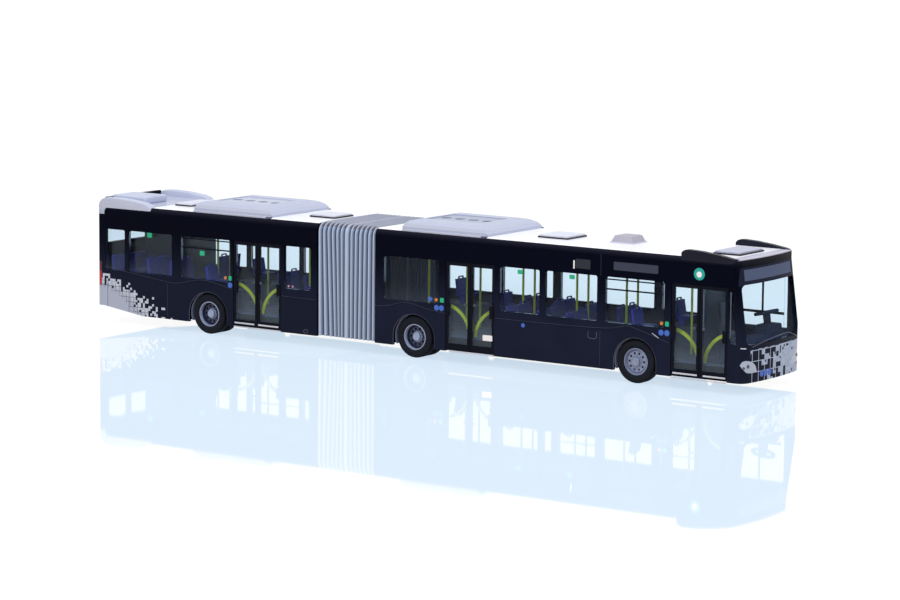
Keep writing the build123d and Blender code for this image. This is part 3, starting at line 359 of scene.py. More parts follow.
def tailSilver(tree):
    # silver amount over the tail: a solid corner that breaks up into squares, and the cap over the lamps
    x, y, z = placeInMm(tree)
    onBack = zone(tree, x, high=tailPrint["backX"])
    axes = addNode(tree, "CombineXYZ", (1.0, onBack, 1.0))[0]
    step, number = squares(tree, tailPrint["square"], axes)
    run = addNode(tree, "Math", (step[0], tailPrint["edgeX"]), operation="SUBTRACT")[0]
    run = addNode(tree, "Math", (run, 0.0), operation="MAXIMUM")[0]
    bend = addNode(tree, "Math", (run, run), operation="MULTIPLY")[0]
    solid, outer = [addNode(tree, "Math", (bend, tailPrint[edge + "Bend"], tailPrint[edge + "Z"]),
                            operation="MULTIPLY_ADD")[0] for edge in ("solid", "outer")]
    rise, depth = [addNode(tree, "Math", (top, solid), operation="SUBTRACT")[0] for top in (step[2], outer)]
    share = addNode(tree, "Math", (rise, depth), operation="DIVIDE")[0]
    limit = addNode(tree, "Math", (number, tailPrint["power"]), operation="POWER")[0]
    limit = addNode(tree, "Math", (limit, tailPrint["scatter"]), operation="MULTIPLY")[0]
    holes = overlap(tree, zone(tree, share, *tailPrint["holes"]), zone(tree, number, tailPrint["fewHoles"]))
    whole = addNode(tree, "Math", (1.0, holes), operation="SUBTRACT")[0]
    broken = overlap(tree, zone(tree, share, high=limit), whole)
    cap = overlap(tree, zone(tree, x, high=tailPrint["capX"]), zone(tree, z, tailPrint["capZ"]))
    sideways = addNode(tree, "Math", (x, tailPrint["cornerX"]), operation="SUBTRACT")[0]
    upward = addNode(tree, "Math", (z, tailPrint["cornerZ"]), operation="SUBTRACT")[0]
    reach = distance(tree, sideways, upward)
    corner = overlap(tree, zone(tree, sideways, high=0.0), zone(tree, upward, 0.0),
                     zone(tree, reach, tailPrint["cornerRadius"]))
    return either(tree, broken, cap, corner), share, number


def tailColour(tree):
    x, y, z = placeInMm(tree)
    silver, share, number = tailSilver(tree)
    even = either(tree, zone(tree, share, high=tailPrint["evenBelow"]), zone(tree, z, tailPrint["capZ"]))
    block = overlap(tree, *[insideSquare(tree, way, tailPrint["block"], tailPrint["blockLine"])
                            for way in (x, z)])
    outline = addNode(tree, "Math", (1.0, block), operation="SUBTRACT")[0]
    lines = overlap(tree, zone(tree, share, *tailPrint["lines"]), outline,
                    zone(tree, z, high=tailPrint["outerZ"]))
    for seam in tailPrint["seams"]:
        across = zone(tree, x, seam - tailPrint["seamHalf"], seam + tailPrint["seamHalf"])
        lines = either(tree, lines, overlap(tree, across, zone(tree, z, high=tailPrint["seamZ"])))
    shade = paint(tree, silverPrint["plain"], (number, silverPrint["bright"]), (even, silverPrint["plain"]),
                  (lines, silverPrint["line"]))
    return paint(tree, bodyColour(tree), (silver, shade))


def cantColour(tree, z):
    # painted reflection: the rail is painted paler towards the rounded edge of the roof, as the light that edge
    # reflects
    share = addNode(tree, "MapRange", (z, *cantSheen["z"]))[0]
    return paint(tree, bodyBlack["deep"], (share, cantSheen["pale"]))


def rearRoofColour(tree):
    # black cant rail with the silver cap behind it; the flat top is white, and grey under the shroud
    x, y, z = placeInMm(tree)
    silver = tailSilver(tree)[0]
    side = paint(tree, cantColour(tree, z), (silver, silverPrint["plain"]))
    top = paint(tree, roofPrint["white"], (zone(tree, x, high=roofPrint["greyX"]), roofPrint["grey"]))
    return paint(tree, side, (zone(tree, z, roofPrint["edgeZ"]), top))


def frontRoofColour(tree):
    # black cant rail, white top, and a lilac-grey lip over the windscreen
    x, y, z = placeInMm(tree)
    top = paint(tree, roofPrint["white"], (zone(tree, x, roofPrint["lipX"]), roofPrint["lip"]))
    return paint(tree, cantColour(tree, z), (zone(tree, z, roofPrint["edgeZ"]), top))


def maskColour(tree):
    # lower front in silver, broken up by black squares towards the door side; a blank display over the glass
    x, y, z = placeInMm(tree)
    step, largeNumber = squares(tree, maskPrint["large"], (0, 1, 1))
    smallNumber = squares(tree, maskPrint["small"], (0, 1, 1))[1]
    reach = maskPrint["clearY"] - maskPrint["blackY"]
    share = addNode(tree, "Math", (step[1], 1 / reach, -maskPrint["blackY"] / reach),
                    operation="MULTIPLY_ADD")[0]
    share = addNode(tree, "Math", (share, 1.0), operation="MINIMUM")[0]
    inside = overlap(tree, *[insideSquare(tree, way, maskPrint["band"], line)
                             for way, line in zip((y, z), maskPrint["bandLines"])])
    blacks = []
    for number, shares in ((largeNumber, "largeShares"), (smallNumber, "smallShares")):
        few, many = maskPrint[shares]
        limit = addNode(tree, "Math", (share, few - many, many), operation="MULTIPLY_ADD")[0]
        blacks.append(overlap(tree, zone(tree, number, limit), inside))
    unbroken = addNode(tree, "Math", (1.0, either(tree, *blacks)), operation="SUBTRACT")[0]
    onFront = zone(tree, x, maskPrint["frontX"])
    silver = overlap(tree, onFront, zone(tree, z, high=maskPrint["topZ"]), zone(tree, y, maskPrint["blackY"]),
                     unbroken)
    shade = paint(tree, silverPrint["nose"], (smallNumber, silverPrint["noseBright"]))
    visor = overlap(tree, onFront, zone(tree, z, maskPrint["visorZ"]))
    screen = overlap(tree, zone(tree, y, *maskPrint["displayY"]), zone(tree, z, *maskPrint["displayZ"]))
    return paint(tree, bodyColour(tree), (visor, maskPrint["visor"]), (silver, shade),
                 (screen, maskPrint["display"]))


def unitColour(tree):
    # the sunken panel is shaded, and its four fans are darker still
    x, y, z = placeInMm(tree)
    along = either(tree, zone(tree, x, *unitPrint["front"]), zone(tree, x, *unitPrint["rear"]))
    panel = overlap(tree, zone(tree, y, *unitPrint["panelY"]), zone(tree, z, high=unitPrint["panelZ"]), along)
    fan = overlap(tree, panel, zone(tree, z, high=unitPrint["fanZ"]))
    floor = paint(tree, unitPrint["rearPanel"], (zone(tree, x, unitPrint["middleX"]), unitPrint["panel"]))
    return paint(tree, unitPrint["skin"], (panel, floor), (fan, unitPrint["fan"]))


def deepRimColour(tree):
    # the well between lip and hub lies in shade on the deep wheels
    x, y, z = placeInMm(tree)
    rise = addNode(tree, "Math", (z, rimPaintAndShade["axleZ"]), operation="SUBTRACT")[0]
    wells = []
    for axleX in rimPaintAndShade["axles"]:
        run = addNode(tree, "Math", (x, axleX), operation="SUBTRACT")[0]
        wells.append(zone(tree, distance(tree, run, rise), *rimPaintAndShade["well"]))
    return paint(tree, rimPaintAndShade["lip"], (either(tree, *wells), rimPaintAndShade["deep"]))


def lidColour(tree):
    # dark gasket under a pale lid, greyer over the driver
    x, y, z = placeInMm(tree)
    lid = paint(tree, lidPrint["lid"], (zone(tree, x, lidPrint["noseX"]), lidPrint["noseLid"]))
    return paint(tree, lidPrint["rim"], (zone(tree, z, lidPrint["rimZ"]), lid))


def hoodColour(tree):
    # mauve-grey hood above its pale flange
    z = placeInMm(tree)[2]
    return paint(tree, ventPrint["flange"], (zone(tree, z, ventPrint["flangeZ"]), ventPrint["hood"]))


def foldColour(tree):
    # painted light and shade: the ridges of the bellows are painted pale as if lit, and the valleys painted
    # dark as if in shade
    x, y, z = placeInMm(tree)
    across = addNode(tree, "Math", (y,), operation="ABSOLUTE")[0]
    parts = []
    for way, flat in ((across, foldShading["flatY"]), (z, foldShading["flatZ"])):
        past = addNode(tree, "Math", (way, flat), operation="SUBTRACT")[0]
        parts.append(addNode(tree, "Math", (past, 0.0), operation="MAXIMUM")[0])
    limits = [foldShading["corner"] - depth for depth in foldShading["worn"]]
    share = addNode(tree, "MapRange", (distance(tree, *parts), *limits))[0]
    topShare = addNode(tree, "Math", (share, foldShading["topPower"]), operation="POWER")[0]
    side = paint(tree, foldShading["valley"], (share, foldShading["ridge"]))
    top = paint(tree, foldShading["topValley"], (topShare, foldShading["topRidge"]))
    return paint(tree, side, (zone(tree, z, foldShading["topZ"]), top))


def lensColour(tree):
    # clear red below, wine red where the lens covers the dark corner post
    z = placeInMm(tree)[2]
    return paint(tree, lensPrint["clear"], (zone(tree, z, lensPrint["postZ"]), lensPrint["post"]))


# every moulded skin: mm across a patch of shade, the part of a noise's range in use, relief depth in mm
skinForm = {"patch": 9, "range": (0.3, 0.7), "detail": 2.0, "depth": 0.05, "uneven": 0.15}


def plastic(name, colour, shade, roughness, grainSize, relief, specular=0.5, metallic=0.0, coat=0.0):
    # a moulded or painted finish with a fine skin; its colour drifts towards the shade, where it has one
    material, tree = newMaterial(name)
    place = addNode(tree, "TexCoord")["Object"]
    patches, blotches, pores = [
        addNode(tree, "TexNoise", {"Vector": place, "Scale": 1 / (size * mm), "Detail": skinForm["detail"]})[0]
        for size in (skinForm["patch"], grainSize * 3, grainSize)]
    base = colour(tree) if callable(colour) else linear(colour)
    if shade:
        drift = addNode(tree, "MapRange", (patches, *skinForm["range"]))[0]
        base = paint(tree, base, (drift, shade(tree) if callable(shade) else shade))
    ends = [roughness * (1 - skinForm["uneven"]), roughness * (1 + skinForm["uneven"])]
    rough = addNode(tree, "MapRange", (blotches, *skinForm["range"], *ends))[0]
    bump = addNode(tree, "Bump", {"Height": pores, "Strength": relief, "Distance": skinForm["depth"] * mm})[0]
    shader = addNode(tree, "BsdfPrincipled",
                     {"Base Color": base, "Roughness": rough, "Normal": bump, "Specular IOR Level": specular,
                      "Metallic": metallic, "Coat Weight": coat})[0]
    addNode(tree, "OutputMaterial", {"Surface": shader})
    return material


clearForm = {"tint": "#f1f7fb", "gloss": "#e8effa", "roughness": 0.06, "ior": 1.49, "ripple": 4,
             "rippleStrength": 0.05, "milk": "#9fb0c6", "hazeZ": (19.0, 9.0)}


def clearPlastic(name, glossShare, haze):
    # hardly any colour, a soft reflection that grows towards grazing, and a little haze low down
    material, tree = newMaterial(name)
    place = addNode(tree, "TexCoord")["Object"]
    z = placeInMm(tree, place)[2]
    waves = addNode(tree, "TexNoise", {"Vector": place, "Scale": 1 / (clearForm["ripple"] * mm),
                                       "Detail": skinForm["detail"]})[0]
    bump = addNode(tree, "Bump", {"Height": waves, "Strength": clearForm["rippleStrength"],
                                  "Distance": skinForm["depth"] * mm})[0]
    clear = addNode(tree, "BsdfTransparent", {"Color": linear(clearForm["tint"])})[0]
    gloss = addNode(tree, "BsdfGlossy", {"Color": linear(clearForm["gloss"]), "Normal": bump,
                                         "Roughness": clearForm["roughness"]})[0]
    edge = addNode(tree, "Fresnel", {"IOR": clearForm["ior"]})[0]
    share = addNode(tree, "Math", (edge, glossShare), operation="MULTIPLY")[0]
    shiny = addNode(tree, "MixShader", (share, clear, gloss))[0]
    milky = addNode(tree, "BsdfDiffuse", {"Color": linear(clearForm["milk"])})[0]
    hazy = addNode(tree, "MapRange", (z, *clearForm["hazeZ"], 0.0, haze))[0]
    shader = addNode(tree, "MixShader", (hazy, shiny, milky))[0]
    addNode(tree, "OutputMaterial", {"Surface": shader})
    return material


# gloss lacquer over moulded ABS: nearly black with a blue cast, small soft highlights, and a painted reflection
# of the table below the windows
lacquer = {"roughness": bodyBlack["roughness"], "grainSize": 0.5, "relief": 0.04,
           "specular": bodyBlack["specular"]}
blackLacquer = plastic("blackLacquerOnAbs", bodyColour, wornAndReflectedColour, **lacquer)
# pad-printed silver over the same lacquer: flat pale squares that sit flush in the black
tailPrinted = plastic("silverPadPrintTail", tailColour, None, **lacquer)
maskPrinted = plastic("silverPadPrintMask", maskColour, None, **lacquer)
# white lacquer on the flat of the roofs: bright and even between black cant rails
rearRoofPrinted = plastic("whiteRoofLacquerRear", rearRoofColour, None, **lacquer)
frontRoofPrinted = plastic("whiteRoofLacquerFront", frontRoofColour, None, **lacquer)
# light grey injection-moulded ABS: even and faintly matt
greyAbs = plastic("lightGreyMouldedAbs", "#b3bad2", "#bdc3d9", 0.42, 0.4, 0.08, specular=0.3)
# the same plastic on the roof units, shaded inside their sunken panels
unitAbs = plastic("roofUnitMouldedAbs", unitColour, None, 0.42, 0.4, 0.08, specular=0.3)
# hatches: pale lids of the same plastic on a black gasket
lidAbs = plastic("paleLidOverGasket", lidColour, None, 0.42, 0.4, 0.08, specular=0.3)
# roof vent: mauve-grey hood on a pale flange, a shade warmer than the other units
ventAbs = plastic("mauveGreyVentAbs", hoodColour, None, 0.45, 0.4, 0.08, specular=0.3)
# soft vinyl of the bellows: matt grey with a lavender cast and a leathery skin, with painted highlights on the
# ridges and painted shade in the valleys
bellowsVinyl = plastic("softGreyVinyl", foldColour, None, 0.62, 0.35, 0.25, specular=0.25)
# slate ABS of the saloon, moulded in one colour: satin, blue-grey
slateAbs = plastic("slateMouldedAbs", "#38445a", "#424f66", 0.5, 0.5, 0.1, specular=0.3)
# dashboard, wheel and column: navy-black soft plastic that keeps the cab dark behind the windscreen
dashAbs = plastic("navyDashboardAbs", "#202943", "#26304d", 0.7, 0.5, 0.1, specular=0.02)
# engine tower and podium: the saloon's plastic, deeper blue-black
towerAbs = plastic("deepSlateMouldedAbs", "#161c2a", "#1b2232", 0.5, 0.5, 0.1, specular=0.3)
# blue ABS seats with a fine moulded grain like short pile
seatBlue = plastic("blueMouldedAbs", "#1b2384", "#232b94", 0.55, 0.3, 0.3, specular=0.2)
# arch liners: thin slate-blue moulding that catches the light behind the tyres
linerSlate = plastic("slateLinerAbs", "#6d7897", "#76819f", 0.5, 0.5, 0.1, specular=0.2)
# yellow-green rails: painted, slightly glossy
railPaint = plastic("yellowGreenPaint", "#a9bb33", "#b7c83e", 0.35, 0.4, 0.08, specular=0.4)
# roof fairings: black ABS left unpainted, a little greyer than the lacquer
fairingAbs = plastic("satinFairingAbs", "#191a28", "#1e1f2e", 0.35, 0.4, 0.08, specular=0.08)
# chassis and door frames: deep black ABS with a satin skin that hardly shines
satinBlackAbs = plastic("satinBlackAbs", "#0a0c18", "#0e101d", 0.4, 0.4, 0.1, specular=0.05)
# tyre compound: matt, dark, with a dusty drift
tyreCompound = plastic("mattTyreCompound", "#10131c", "#161a25", 0.75, 0.25, 0.35, specular=0.12)
# drawn steel axles: bright, with fine drawing marks
drawnSteel = plastic("drawnSteelAxle", "#8f949e", "#9a9fa8", 0.35, 0.2, 0.1, metallic=1.0)
# silver paint on the wheels: fine flakes, soft sheen
wheelSilver = plastic("silverWheelPaint", "#76819e", "#838eab", 0.38, 0.15, 0.1, metallic=0.3)
# the same paint on the deep wheels: pale on lip and hub, with painted shade down in the well
deepWheelSilver = plastic("silverWheelPaintDeep", deepRimColour, None, 0.4, 0.15, 0.1, metallic=0.25)
# clear polystyrene inserts: nearly colourless, with a soft reflection and a little haze at the sill
windowPlastic = clearPlastic("clearPolystyrene", 0.14, 0.075)
# windscreen: the same, clearer still, so that the dark cab shows through it
screenPlastic = clearPlastic("clearWindscreenPolystyrene", 0.02, 0.012)
# tail lamp lens: red polycarbonate, smooth and glossy
lampRed = plastic("redPolycarbonate", lensColour, None, 0.15, 0.3, 0.2, specular=0.4)
# headlamp cover over a silvered bowl: bright, with a rippled gloss
lampClear = plastic("silveredHeadlamp", "#aab9d4", "#8b9eba", 0.12, 0.35, 0.5, specular=0.6, coat=0.6)

finishes = (
    (blackLacquer, "front_wall_right front_wall_left"),
    (tailPrinted, "rear_wall_right rear_wall_left rear_tail"),
    (maskPrinted, "front_mask"),
    (frontRoofPrinted, "front_roof"),
    (rearRoofPrinted, "rear_roof"),
    (fairingAbs, "roof_fairings"),
    (satinBlackAbs, "front_door middle_door rear_door front_chassis rear_chassis"),
    (windowPlastic, "front_glazing_right front_glazing_left rear_glazing_right rear_glazing_left"),
    (windowPlastic, "quarter_window_right quarter_window_left rear_window"),
    (screenPlastic, "windscreen"),
    (lampClear, "headlamps"),
    (lampRed, "tail_lamps"),
    (bellowsVinyl, "bellows"),
    (slateAbs, "front_floor rear_floor cab_partition driver_seat"),
    (towerAbs, "rear_podium engine_tower"),
    (dashAbs, "dashboard"),
    (seatBlue, "front_seats rear_seats back_bench"),
    (railPaint, "front_handrails rear_handrails front_door_rails rear_door_rails"),
    (unitAbs, "front_air_conditioner rear_air_conditioner"),
    (lidAbs, "front_roof_hatches rear_roof_hatches"),
    (ventAbs, "roof_vent"),
    (greyAbs, "tail_shroud"),
    (drawnSteel, "front_axle middle_axle rear_axle"),
    (wheelSilver, "front_rims"),
    (deepWheelSilver, "middle_rims rear_rims"),
    (tyreCompound, "front_tyres middle_tyres rear_tyres"),
)
finishOf = {name: finish for finish, names in finishes for name in names.split()}
for name, node in nodes.items():
    node.data.materials.clear()
    node.data.materials.append(finishOf[name])
print("materials set on the frame")

# bellows between the cars

folds = {"back": -27.6, "front": -8.4, "foot": 3.2, "top": 33.7, "half": 14.65, "corner": 2.7, "depth": 1.0,
         "count": 6, "pitch": 1.45, "band": 1.8, "skin": 0.4, "blendZ": 18,
         # along each fold as a share of the pitch, and how deep it lies there as a share of the depth
         "profile": ((0.0, 1.0), (0.16, 0.72), (0.3, 0.22), (0.42, 0.0), (0.58, 0.0), (0.7, 0.22),
                     (0.84, 0.72)),
         # the wide band in the middle, in mm from its centre
         "bandProfile": ((-0.62, 0.35), (-0.42, 0.06), (0.0, 0.0), (0.42, 0.06), (0.62, 0.35)),
         # from, to, and how far the folds between them hang askew at their feet
         "leans": ((-27.4, -18.95, 0.95), (-17.05, -8.6, -0.3))}


def foldPlaces():
    # x of each cut and how deep it lies, as a share of the fold depth
    middle = (folds["back"] + folds["front"]) / 2
    halfBand = folds["band"] / 2
    behind = [middle - halfBand - folds["pitch"] * (folds["count"] - fold) for fold in range(folds["count"])]
    ahead = [middle + halfBand + folds["pitch"] * fold for fold in range(folds["count"])]
    rows = [(start + folds["pitch"] * along, deep) for start in behind for along, deep in folds["profile"]]
    rows.append((middle - halfBand, 1.0))
    rows += [(middle + shift, deep) for shift, deep in folds["bandProfile"]]
    rows += [(start + folds["pitch"] * along, deep) for start in ahead for along, deep in folds["profile"]]
    rows.append((folds["front"], 1.0))
    return rows


bellows = addBlock("bellowsFolds", (folds["back"], -folds["half"], folds["foot"]),
                   (folds["front"], folds["half"], folds["top"]))
openMesh(bellows)
pickFaces(bellows, lambda c, n: abs(n.x) > 0.9 or n.z < -0.9)
bpy.ops.mesh.delete(type="FACE")
bpy.ops.mesh.select_mode(type="EDGE")
pickEdges(bellows, lambda a, b: a.z > 30 and b.z > 30 and abs(a.y - b.y) < 1)
bpy.ops.mesh.bevel(offset=folds["corner"] * mm, segments=6, affect="EDGES")
places = foldPlaces()
for x, deep in places[1:-1]:
    bpy.ops.mesh.select_all(action="SELECT")
    bpy.ops.mesh.bisect(plane_co=(x * mm, 0, 0), plane_no=(1, 0, 0))
bpy.ops.mesh.select_mode(type="VERT")
height = folds["top"] - folds["foot"]
for x, deep in places:
    if deep == 0:
        continue
    pickPoints(bellows, lambda p, x=x: abs(p.x - x) < 0.004)
    inward = folds["depth"] * deep
    bpy.ops.transform.resize(value=(1, (folds["half"] - inward) / folds["half"], (height - inward) / height),
                             center_override=(x * mm, 0, folds["foot"] * mm))
for low, high, lean in folds["leans"]:
    for x, deep in sorted(places, reverse=lean > 0):
        if low < x < high:
            pickPoints(bellows, lambda p, x=x: abs(p.x - x) < 0.02 and p.z < 4)
            push = lean * mm * math.sin((x - low) / (high - low) * math.pi)
            bpy.ops.transform.translate(value=(push, 0, 0))
closeMesh()
skin = bellows.modifiers.new("skin", "SOLIDIFY")
skin.thickness = folds["skin"] * mm
skin.offset = -1
applyModifiers(bellows)
smooth(bellows, 50)
bellows.data.materials.clear()
bellows.data.materials.append(bellowsVinyl)
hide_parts("bellows")
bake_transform(bellows)
print("bellows folded")

# tyres

tyre = {"radius": 5.5, "width": 3.1, "sides": 96, "shoulder": 0.4, "bore": 3.47, "hub": 5.5, "inset": 0.5,
        "gap": 0.5, "side": 14.655, "bead": -0.25,
        # steps of the side wall from the tread inwards: how wide, how far out
        "wall": ((0.55, 0.0), (0.12, 0.05), (0.5, 0.06), (0.45, -0.1), (0.12, -0.06)),
        "grooves": (-0.52, 0.52), "grooveHalf": 0.09, "grooveDepth": 0.16,
        "cutsFrom": 0.63, "cutMargin": 0.03, "cutDepth": 0.2}


def makeTyre():
    piece = addDisc("tyre", (0, 0, 0), tyre["radius"], tyre["width"], tyre["sides"])
    openMesh(piece)
    pickFaces(piece, lambda c, n: abs(n.y) > 0.9)
    for wide, out in tyre["wall"]:
        bpy.ops.mesh.inset(thickness=wide * mm, depth=out * mm)
    walls = sum(wide for wide, out in tyre["wall"])
    bpy.ops.mesh.inset(thickness=(tyre["radius"] - walls - tyre["bore"]) * mm, depth=tyre["bead"] * mm)
    bpy.ops.mesh.bridge_edge_loops()
    bpy.ops.mesh.select_mode(type="EDGE")
    rimEdge = tyre["radius"] - 0.05
    pickEdges(piece, lambda a, b: math.hypot(a.x, a.z) > rimEdge and math.hypot(b.x, b.z) > rimEdge
              and abs(a.y - b.y) < 0.01)
    bpy.ops.mesh.bevel(offset=tyre["shoulder"] * mm, segments=3, affect="EDGES")
    for middle in tyre["grooves"]:
        for shift in (-tyre["grooveHalf"], tyre["grooveHalf"]):
            pickFaces(piece, lambda c, n: math.hypot(c.x, c.z) > rimEdge - 0.2)
            bpy.ops.mesh.bisect(plane_co=(0, (middle + shift) * mm, 0), plane_no=(0, 1, 0))
    bpy.ops.mesh.select_mode(type="FACE")
    pickFaces(piece, lambda c, n: math.hypot(c.x, c.z) > rimEdge - 0.1
              and min(abs(c.y - g) for g in tyre["grooves"]) < tyre["grooveHalf"])
    bpy.ops.mesh.inset(thickness=0.01 * mm, depth=-tyre["grooveDepth"] * mm)
    # cross cuts on both shoulders
    step = 360 / tyre["sides"]
    pickFaces(piece, lambda c, n: math.hypot(c.x, c.z) > rimEdge - 0.1 and abs(c.y) > tyre["cutsFrom"]
              and int(math.degrees(math.atan2(c.z, c.x)) / step + tyre["sides"]) % 2 == 0)
    bpy.ops.mesh.inset(thickness=tyre["cutMargin"] * mm, depth=-tyre["cutDepth"] * mm, use_individual=True)
    closeMesh()
    smooth(piece, 30)
    return piece


# rims

rim = {"radius": 3.44, "sides": 60, "lip": 0.2, "step": 0.08, "disc": 2.95, "cone": 0.3, "edge": 0.1,
       "hub": 1.12, "hubOut": 0.62, "holes": 10, "holeRadius": 0.33, "holeCircle": 2.12,
       "nutRadius": 0.13, "nutCircle": 1.5, "nutThick": 0.36, "backWall": 0.35, "discThick": 0.9}


def makeRim(width, dish):
    # outer face towards -Y at y = 0, the barrel reaching back to y = width
    piece = addDisc("rim", (0, width / 2, 0), rim["radius"], width, rim["sides"])
    openMesh(piece)
    pickFaces(piece, lambda c, n: n.y < -0.9)
    # from the lip inwards: how wide, how far out
    steps = ((rim["lip"], 0.05), (rim["step"], -0.16),
             (rim["radius"] - rim["lip"] - rim["step"] - rim["disc"], -dish), (rim["cone"], 0.22),
             (rim["disc"] - rim["cone"] - rim["hub"] - rim["edge"], 0), (rim["edge"], 0.1),
             (0.02, rim["hubOut"]), (0.18, 0.12), (0.25, -0.06))
    for wide, out in steps:
        bpy.ops.mesh.inset(thickness=wide * mm, depth=out * mm)
    pickFaces(piece, lambda c, n: n.y > 0.9)
    bpy.ops.mesh.inset(thickness=rim["backWall"] * mm, depth=0)
    bpy.ops.mesh.inset(thickness=0.02 * mm, depth=-(width - dish - rim["discThick"]) * mm)
    closeMesh()
    angles = [2 * math.pi * turn / rim["holes"] for turn in range(rim["holes"])]
    cutter = joinPieces("cutter", [
        addDisc("cutter", (rim["holeCircle"] * math.cos(angle), dish, rim["holeCircle"] * math.sin(angle)),
                rim["holeRadius"], 2.6, 16) for angle in angles])
    cut = piece.modifiers.new("holes", "BOOLEAN")
    cut.operation = "DIFFERENCE"
    cut.object = cutter
    applyModifiers(piece)
    bpy.data.objects.remove(cutter)
    parts = [piece]
    for turn in range(rim["holes"]):
        angle = 2 * math.pi * (turn + 0.5) / rim["holes"]
        nut = addDisc("nut", (rim["nutCircle"] * math.cos(angle), dish - 0.2,
                              rim["nutCircle"] * math.sin(angle)), rim["nutRadius"], rim["nutThick"], 6)
        bevelAll(nut, 0.03)
        parts.append(nut)
    piece = joinPieces("rim", parts)
    smooth(piece, 30)
    return piece


halfTurn = Matrix.Rotation(math.pi, 4, "Z")
tyreMaster = makeTyre()
wheelsets = {
    # name: axle place, tyres on each side, dish
    "front": (71.93, 1, 0.62),
    "middle": (4.11, 2, 1.5),
    "rear": (-64.74, 2, 1.5),
}
outer = tyre["side"] - tyre["inset"]
for name, (axleX, rows, dish) in wheelsets.items():
    tyres, rims = [], []
    for hand in (1, -1):
        for row in range(rows):
            y = hand * (outer - tyre["width"] / 2 - row * (tyre["width"] + tyre["gap"]))
            tyres.append(copyPiece(tyreMaster, "tyreCopy", (axleX, y, tyre["hub"])))
    rimMaster = makeRim(tyre["width"] * rows + tyre["gap"] * (rows - 1), dish)
    for hand in (1, -1):
        rims.append(copyPiece(rimMaster, "rimCopy", (axleX, hand * (outer - 0.12), tyre["hub"]),
                              halfTurn if hand == 1 else None))
    bpy.data.objects.remove(rimMaster)
    tyrePiece = joinPieces(f"{name}TreadedTyres", tyres)
    rimPiece = joinPieces(f"{name}DishedRims", rims)
    dress(tyrePiece, tyreCompound, f"{name}_wheels")
    dress(rimPiece, wheelSilver if rows == 1 else deepWheelSilver, f"{name}_wheels")
    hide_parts(f"{name}_tyres")
    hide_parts(f"{name}_rims")
bpy.data.objects.remove(tyreMaster)
print("wheels made")

# prints on the door side; y of the faces that carry them

side = {"body": -14.655, "glass": -14.535, "leaf": -14.455}
inkForm = {"skin": 0.06, "sunk": 0.02, "corner": 0.18, "rim": 0.08, "rise": 0.015}
# screen inks: flat and even, a little satin
inkColours = {"green": "#1fae83", "blue": "#3f66c4", "orange": "#cf7f3c", "teal": "#17a59b",
              "white": "#eef1f8", "pink": "#b98fae"}
# glass over the displays: dark and dull while they are off
displayColours = {"slate": "#2a3147", "dark": "#161a27"}
ink = {}
for colours, finish in ((inkColours, "ScreenInk"), (displayColours, "DisplayGlass")):
    for name, code in colours.items():
        ink[name] = plastic(name + finish, code, None, 0.35, 0.6, 0.04, specular=0.3)
# painted highlight: wiper arms and knobs in grey, as the light their moulded edges catch
wiperGrey = plastic("greyWornEdge", "#454a5e", "#51566b", 0.4, 0.3, 0.08, specular=0.3)
# painted highlight: a fine pale line along each seam in the lacquer, where its edge would shine
seamShine = plastic("lacquerSeamEdge", "#262b3e", "#2d3246", 0.3, 0.3, 0.06, specular=0.3)
# inner lips of the wheel arches: a soft grey line around the dark wells, painted as the highlight on each lip's
# edge
lipGrey = plastic("greyArchLip", "#454b60", "#525870", 0.4, 0.3, 0.08, specular=0.3)
# bulb holders seen through the headlamp covers: dark and a little glossy
bulbDark = plastic("darkBulbHolder", "#3c444e", "#4a525d", 0.3, 0.2, 0.1, specular=0.5)
# hot-stamped foil on the door sills: pale silver, satin
silverStrip = plastic("silverHotFoil", "#b9bfd2", "#cdd2e2", 0.3, 0.3, 0.06, specular=0.5)

plates = {
    # name: (ink, body, face, rows of (x, z, width, height))
    "greenPlatesRear": ("green", "rear_car", "glass", ((-85.4, 25.8, 1.6, 1.3), (-66.8, 22.2, 1.6, 1.3))),
    "greenPlatesRearPost": ("green", "rear_car", "body", ((-57.0, 16.1, 1.0, 1.2),)),
    "greenPlatesFront": ("green", "front_car", "glass", ((37.3, 25.5, 1.6, 1.1), (53.0, 25.5, 1.6, 1.1))),
    "greenPlatesFrontPost": ("green", "front_car", "body", ((13.1, 16.1, 1.2, 1.2), (81.2, 16.0, 1.1, 1.2))),
    "whiteNotice": ("white", "front_car", "leaf", ((27.35, 7.4, 3.0, 1.5),)),
    "displaySlot": ("white", "front_car", "body", ((53.6, 28.8, 0.4, 2.2),)),
    "sideDisplay": ("slate", "front_car", "body", ((71.9, 29.4, 13.0, 2.1),)),
    "smallDisplay": ("dark", "front_car", "body", ((56.3, 29.1, 4.4, 2.4),)),
}
discs = {
    # name: (ink, body, face, rows of (x, z, diameter))
    "orangeDotsRear": ("orange", "rear_car", "body", ((-58.6, 16.1, 0.9),)),
    "orangeDotsFront": ("orange", "front_car", "body", ((11.3, 16.1, 0.9), (79.6, 16.05, 0.9))),
    "blueDiscsRear": ("blue", "rear_car", "body", ((-57.0, 14.2, 1.5),)),
    "blueDiscsFront": ("blue", "front_car", "body", ((11.4, 14.0, 1.5), (12.95, 14.0, 1.5), (79.5, 13.7, 1.5),
                                                     (81.2, 13.7, 1.5), (38.4, 11.8, 1.1))),
    "blueDiscPost": ("blue", "front_car", "body", ((9.4, 16.1, 1.3),)),
    "pinkDots": ("pink", "rear_car", "glass", ((-37.1, 15.6, 0.6), (-35.7, 15.6, 0.6))),
    "tealEmblem": ("teal", "front_car", "body", ((90.2, 29.3, 3.1),)),
}
emblemEye = {"x": 90.2, "z": 29.2, "radius": 0.75, "thick": 0.06, "rim": 0.06, "rise": 0.01}


def plateOn(name, face, x, z, wide, high):
    y = side[face]
    plate = addBlock(name, (x - wide / 2, y - inkForm["skin"], z - high / 2),
                     (x + wide / 2, y + inkForm["sunk"], z + high / 2))
    openMesh(plate, "EDGE")
    pickEdges(plate, lambda a, b: abs(a.y - b.y) > 0.01)
    bpy.ops.mesh.bevel(offset=inkForm["corner"] * mm, segments=3, affect="EDGES")
    closeMesh()
    return plate


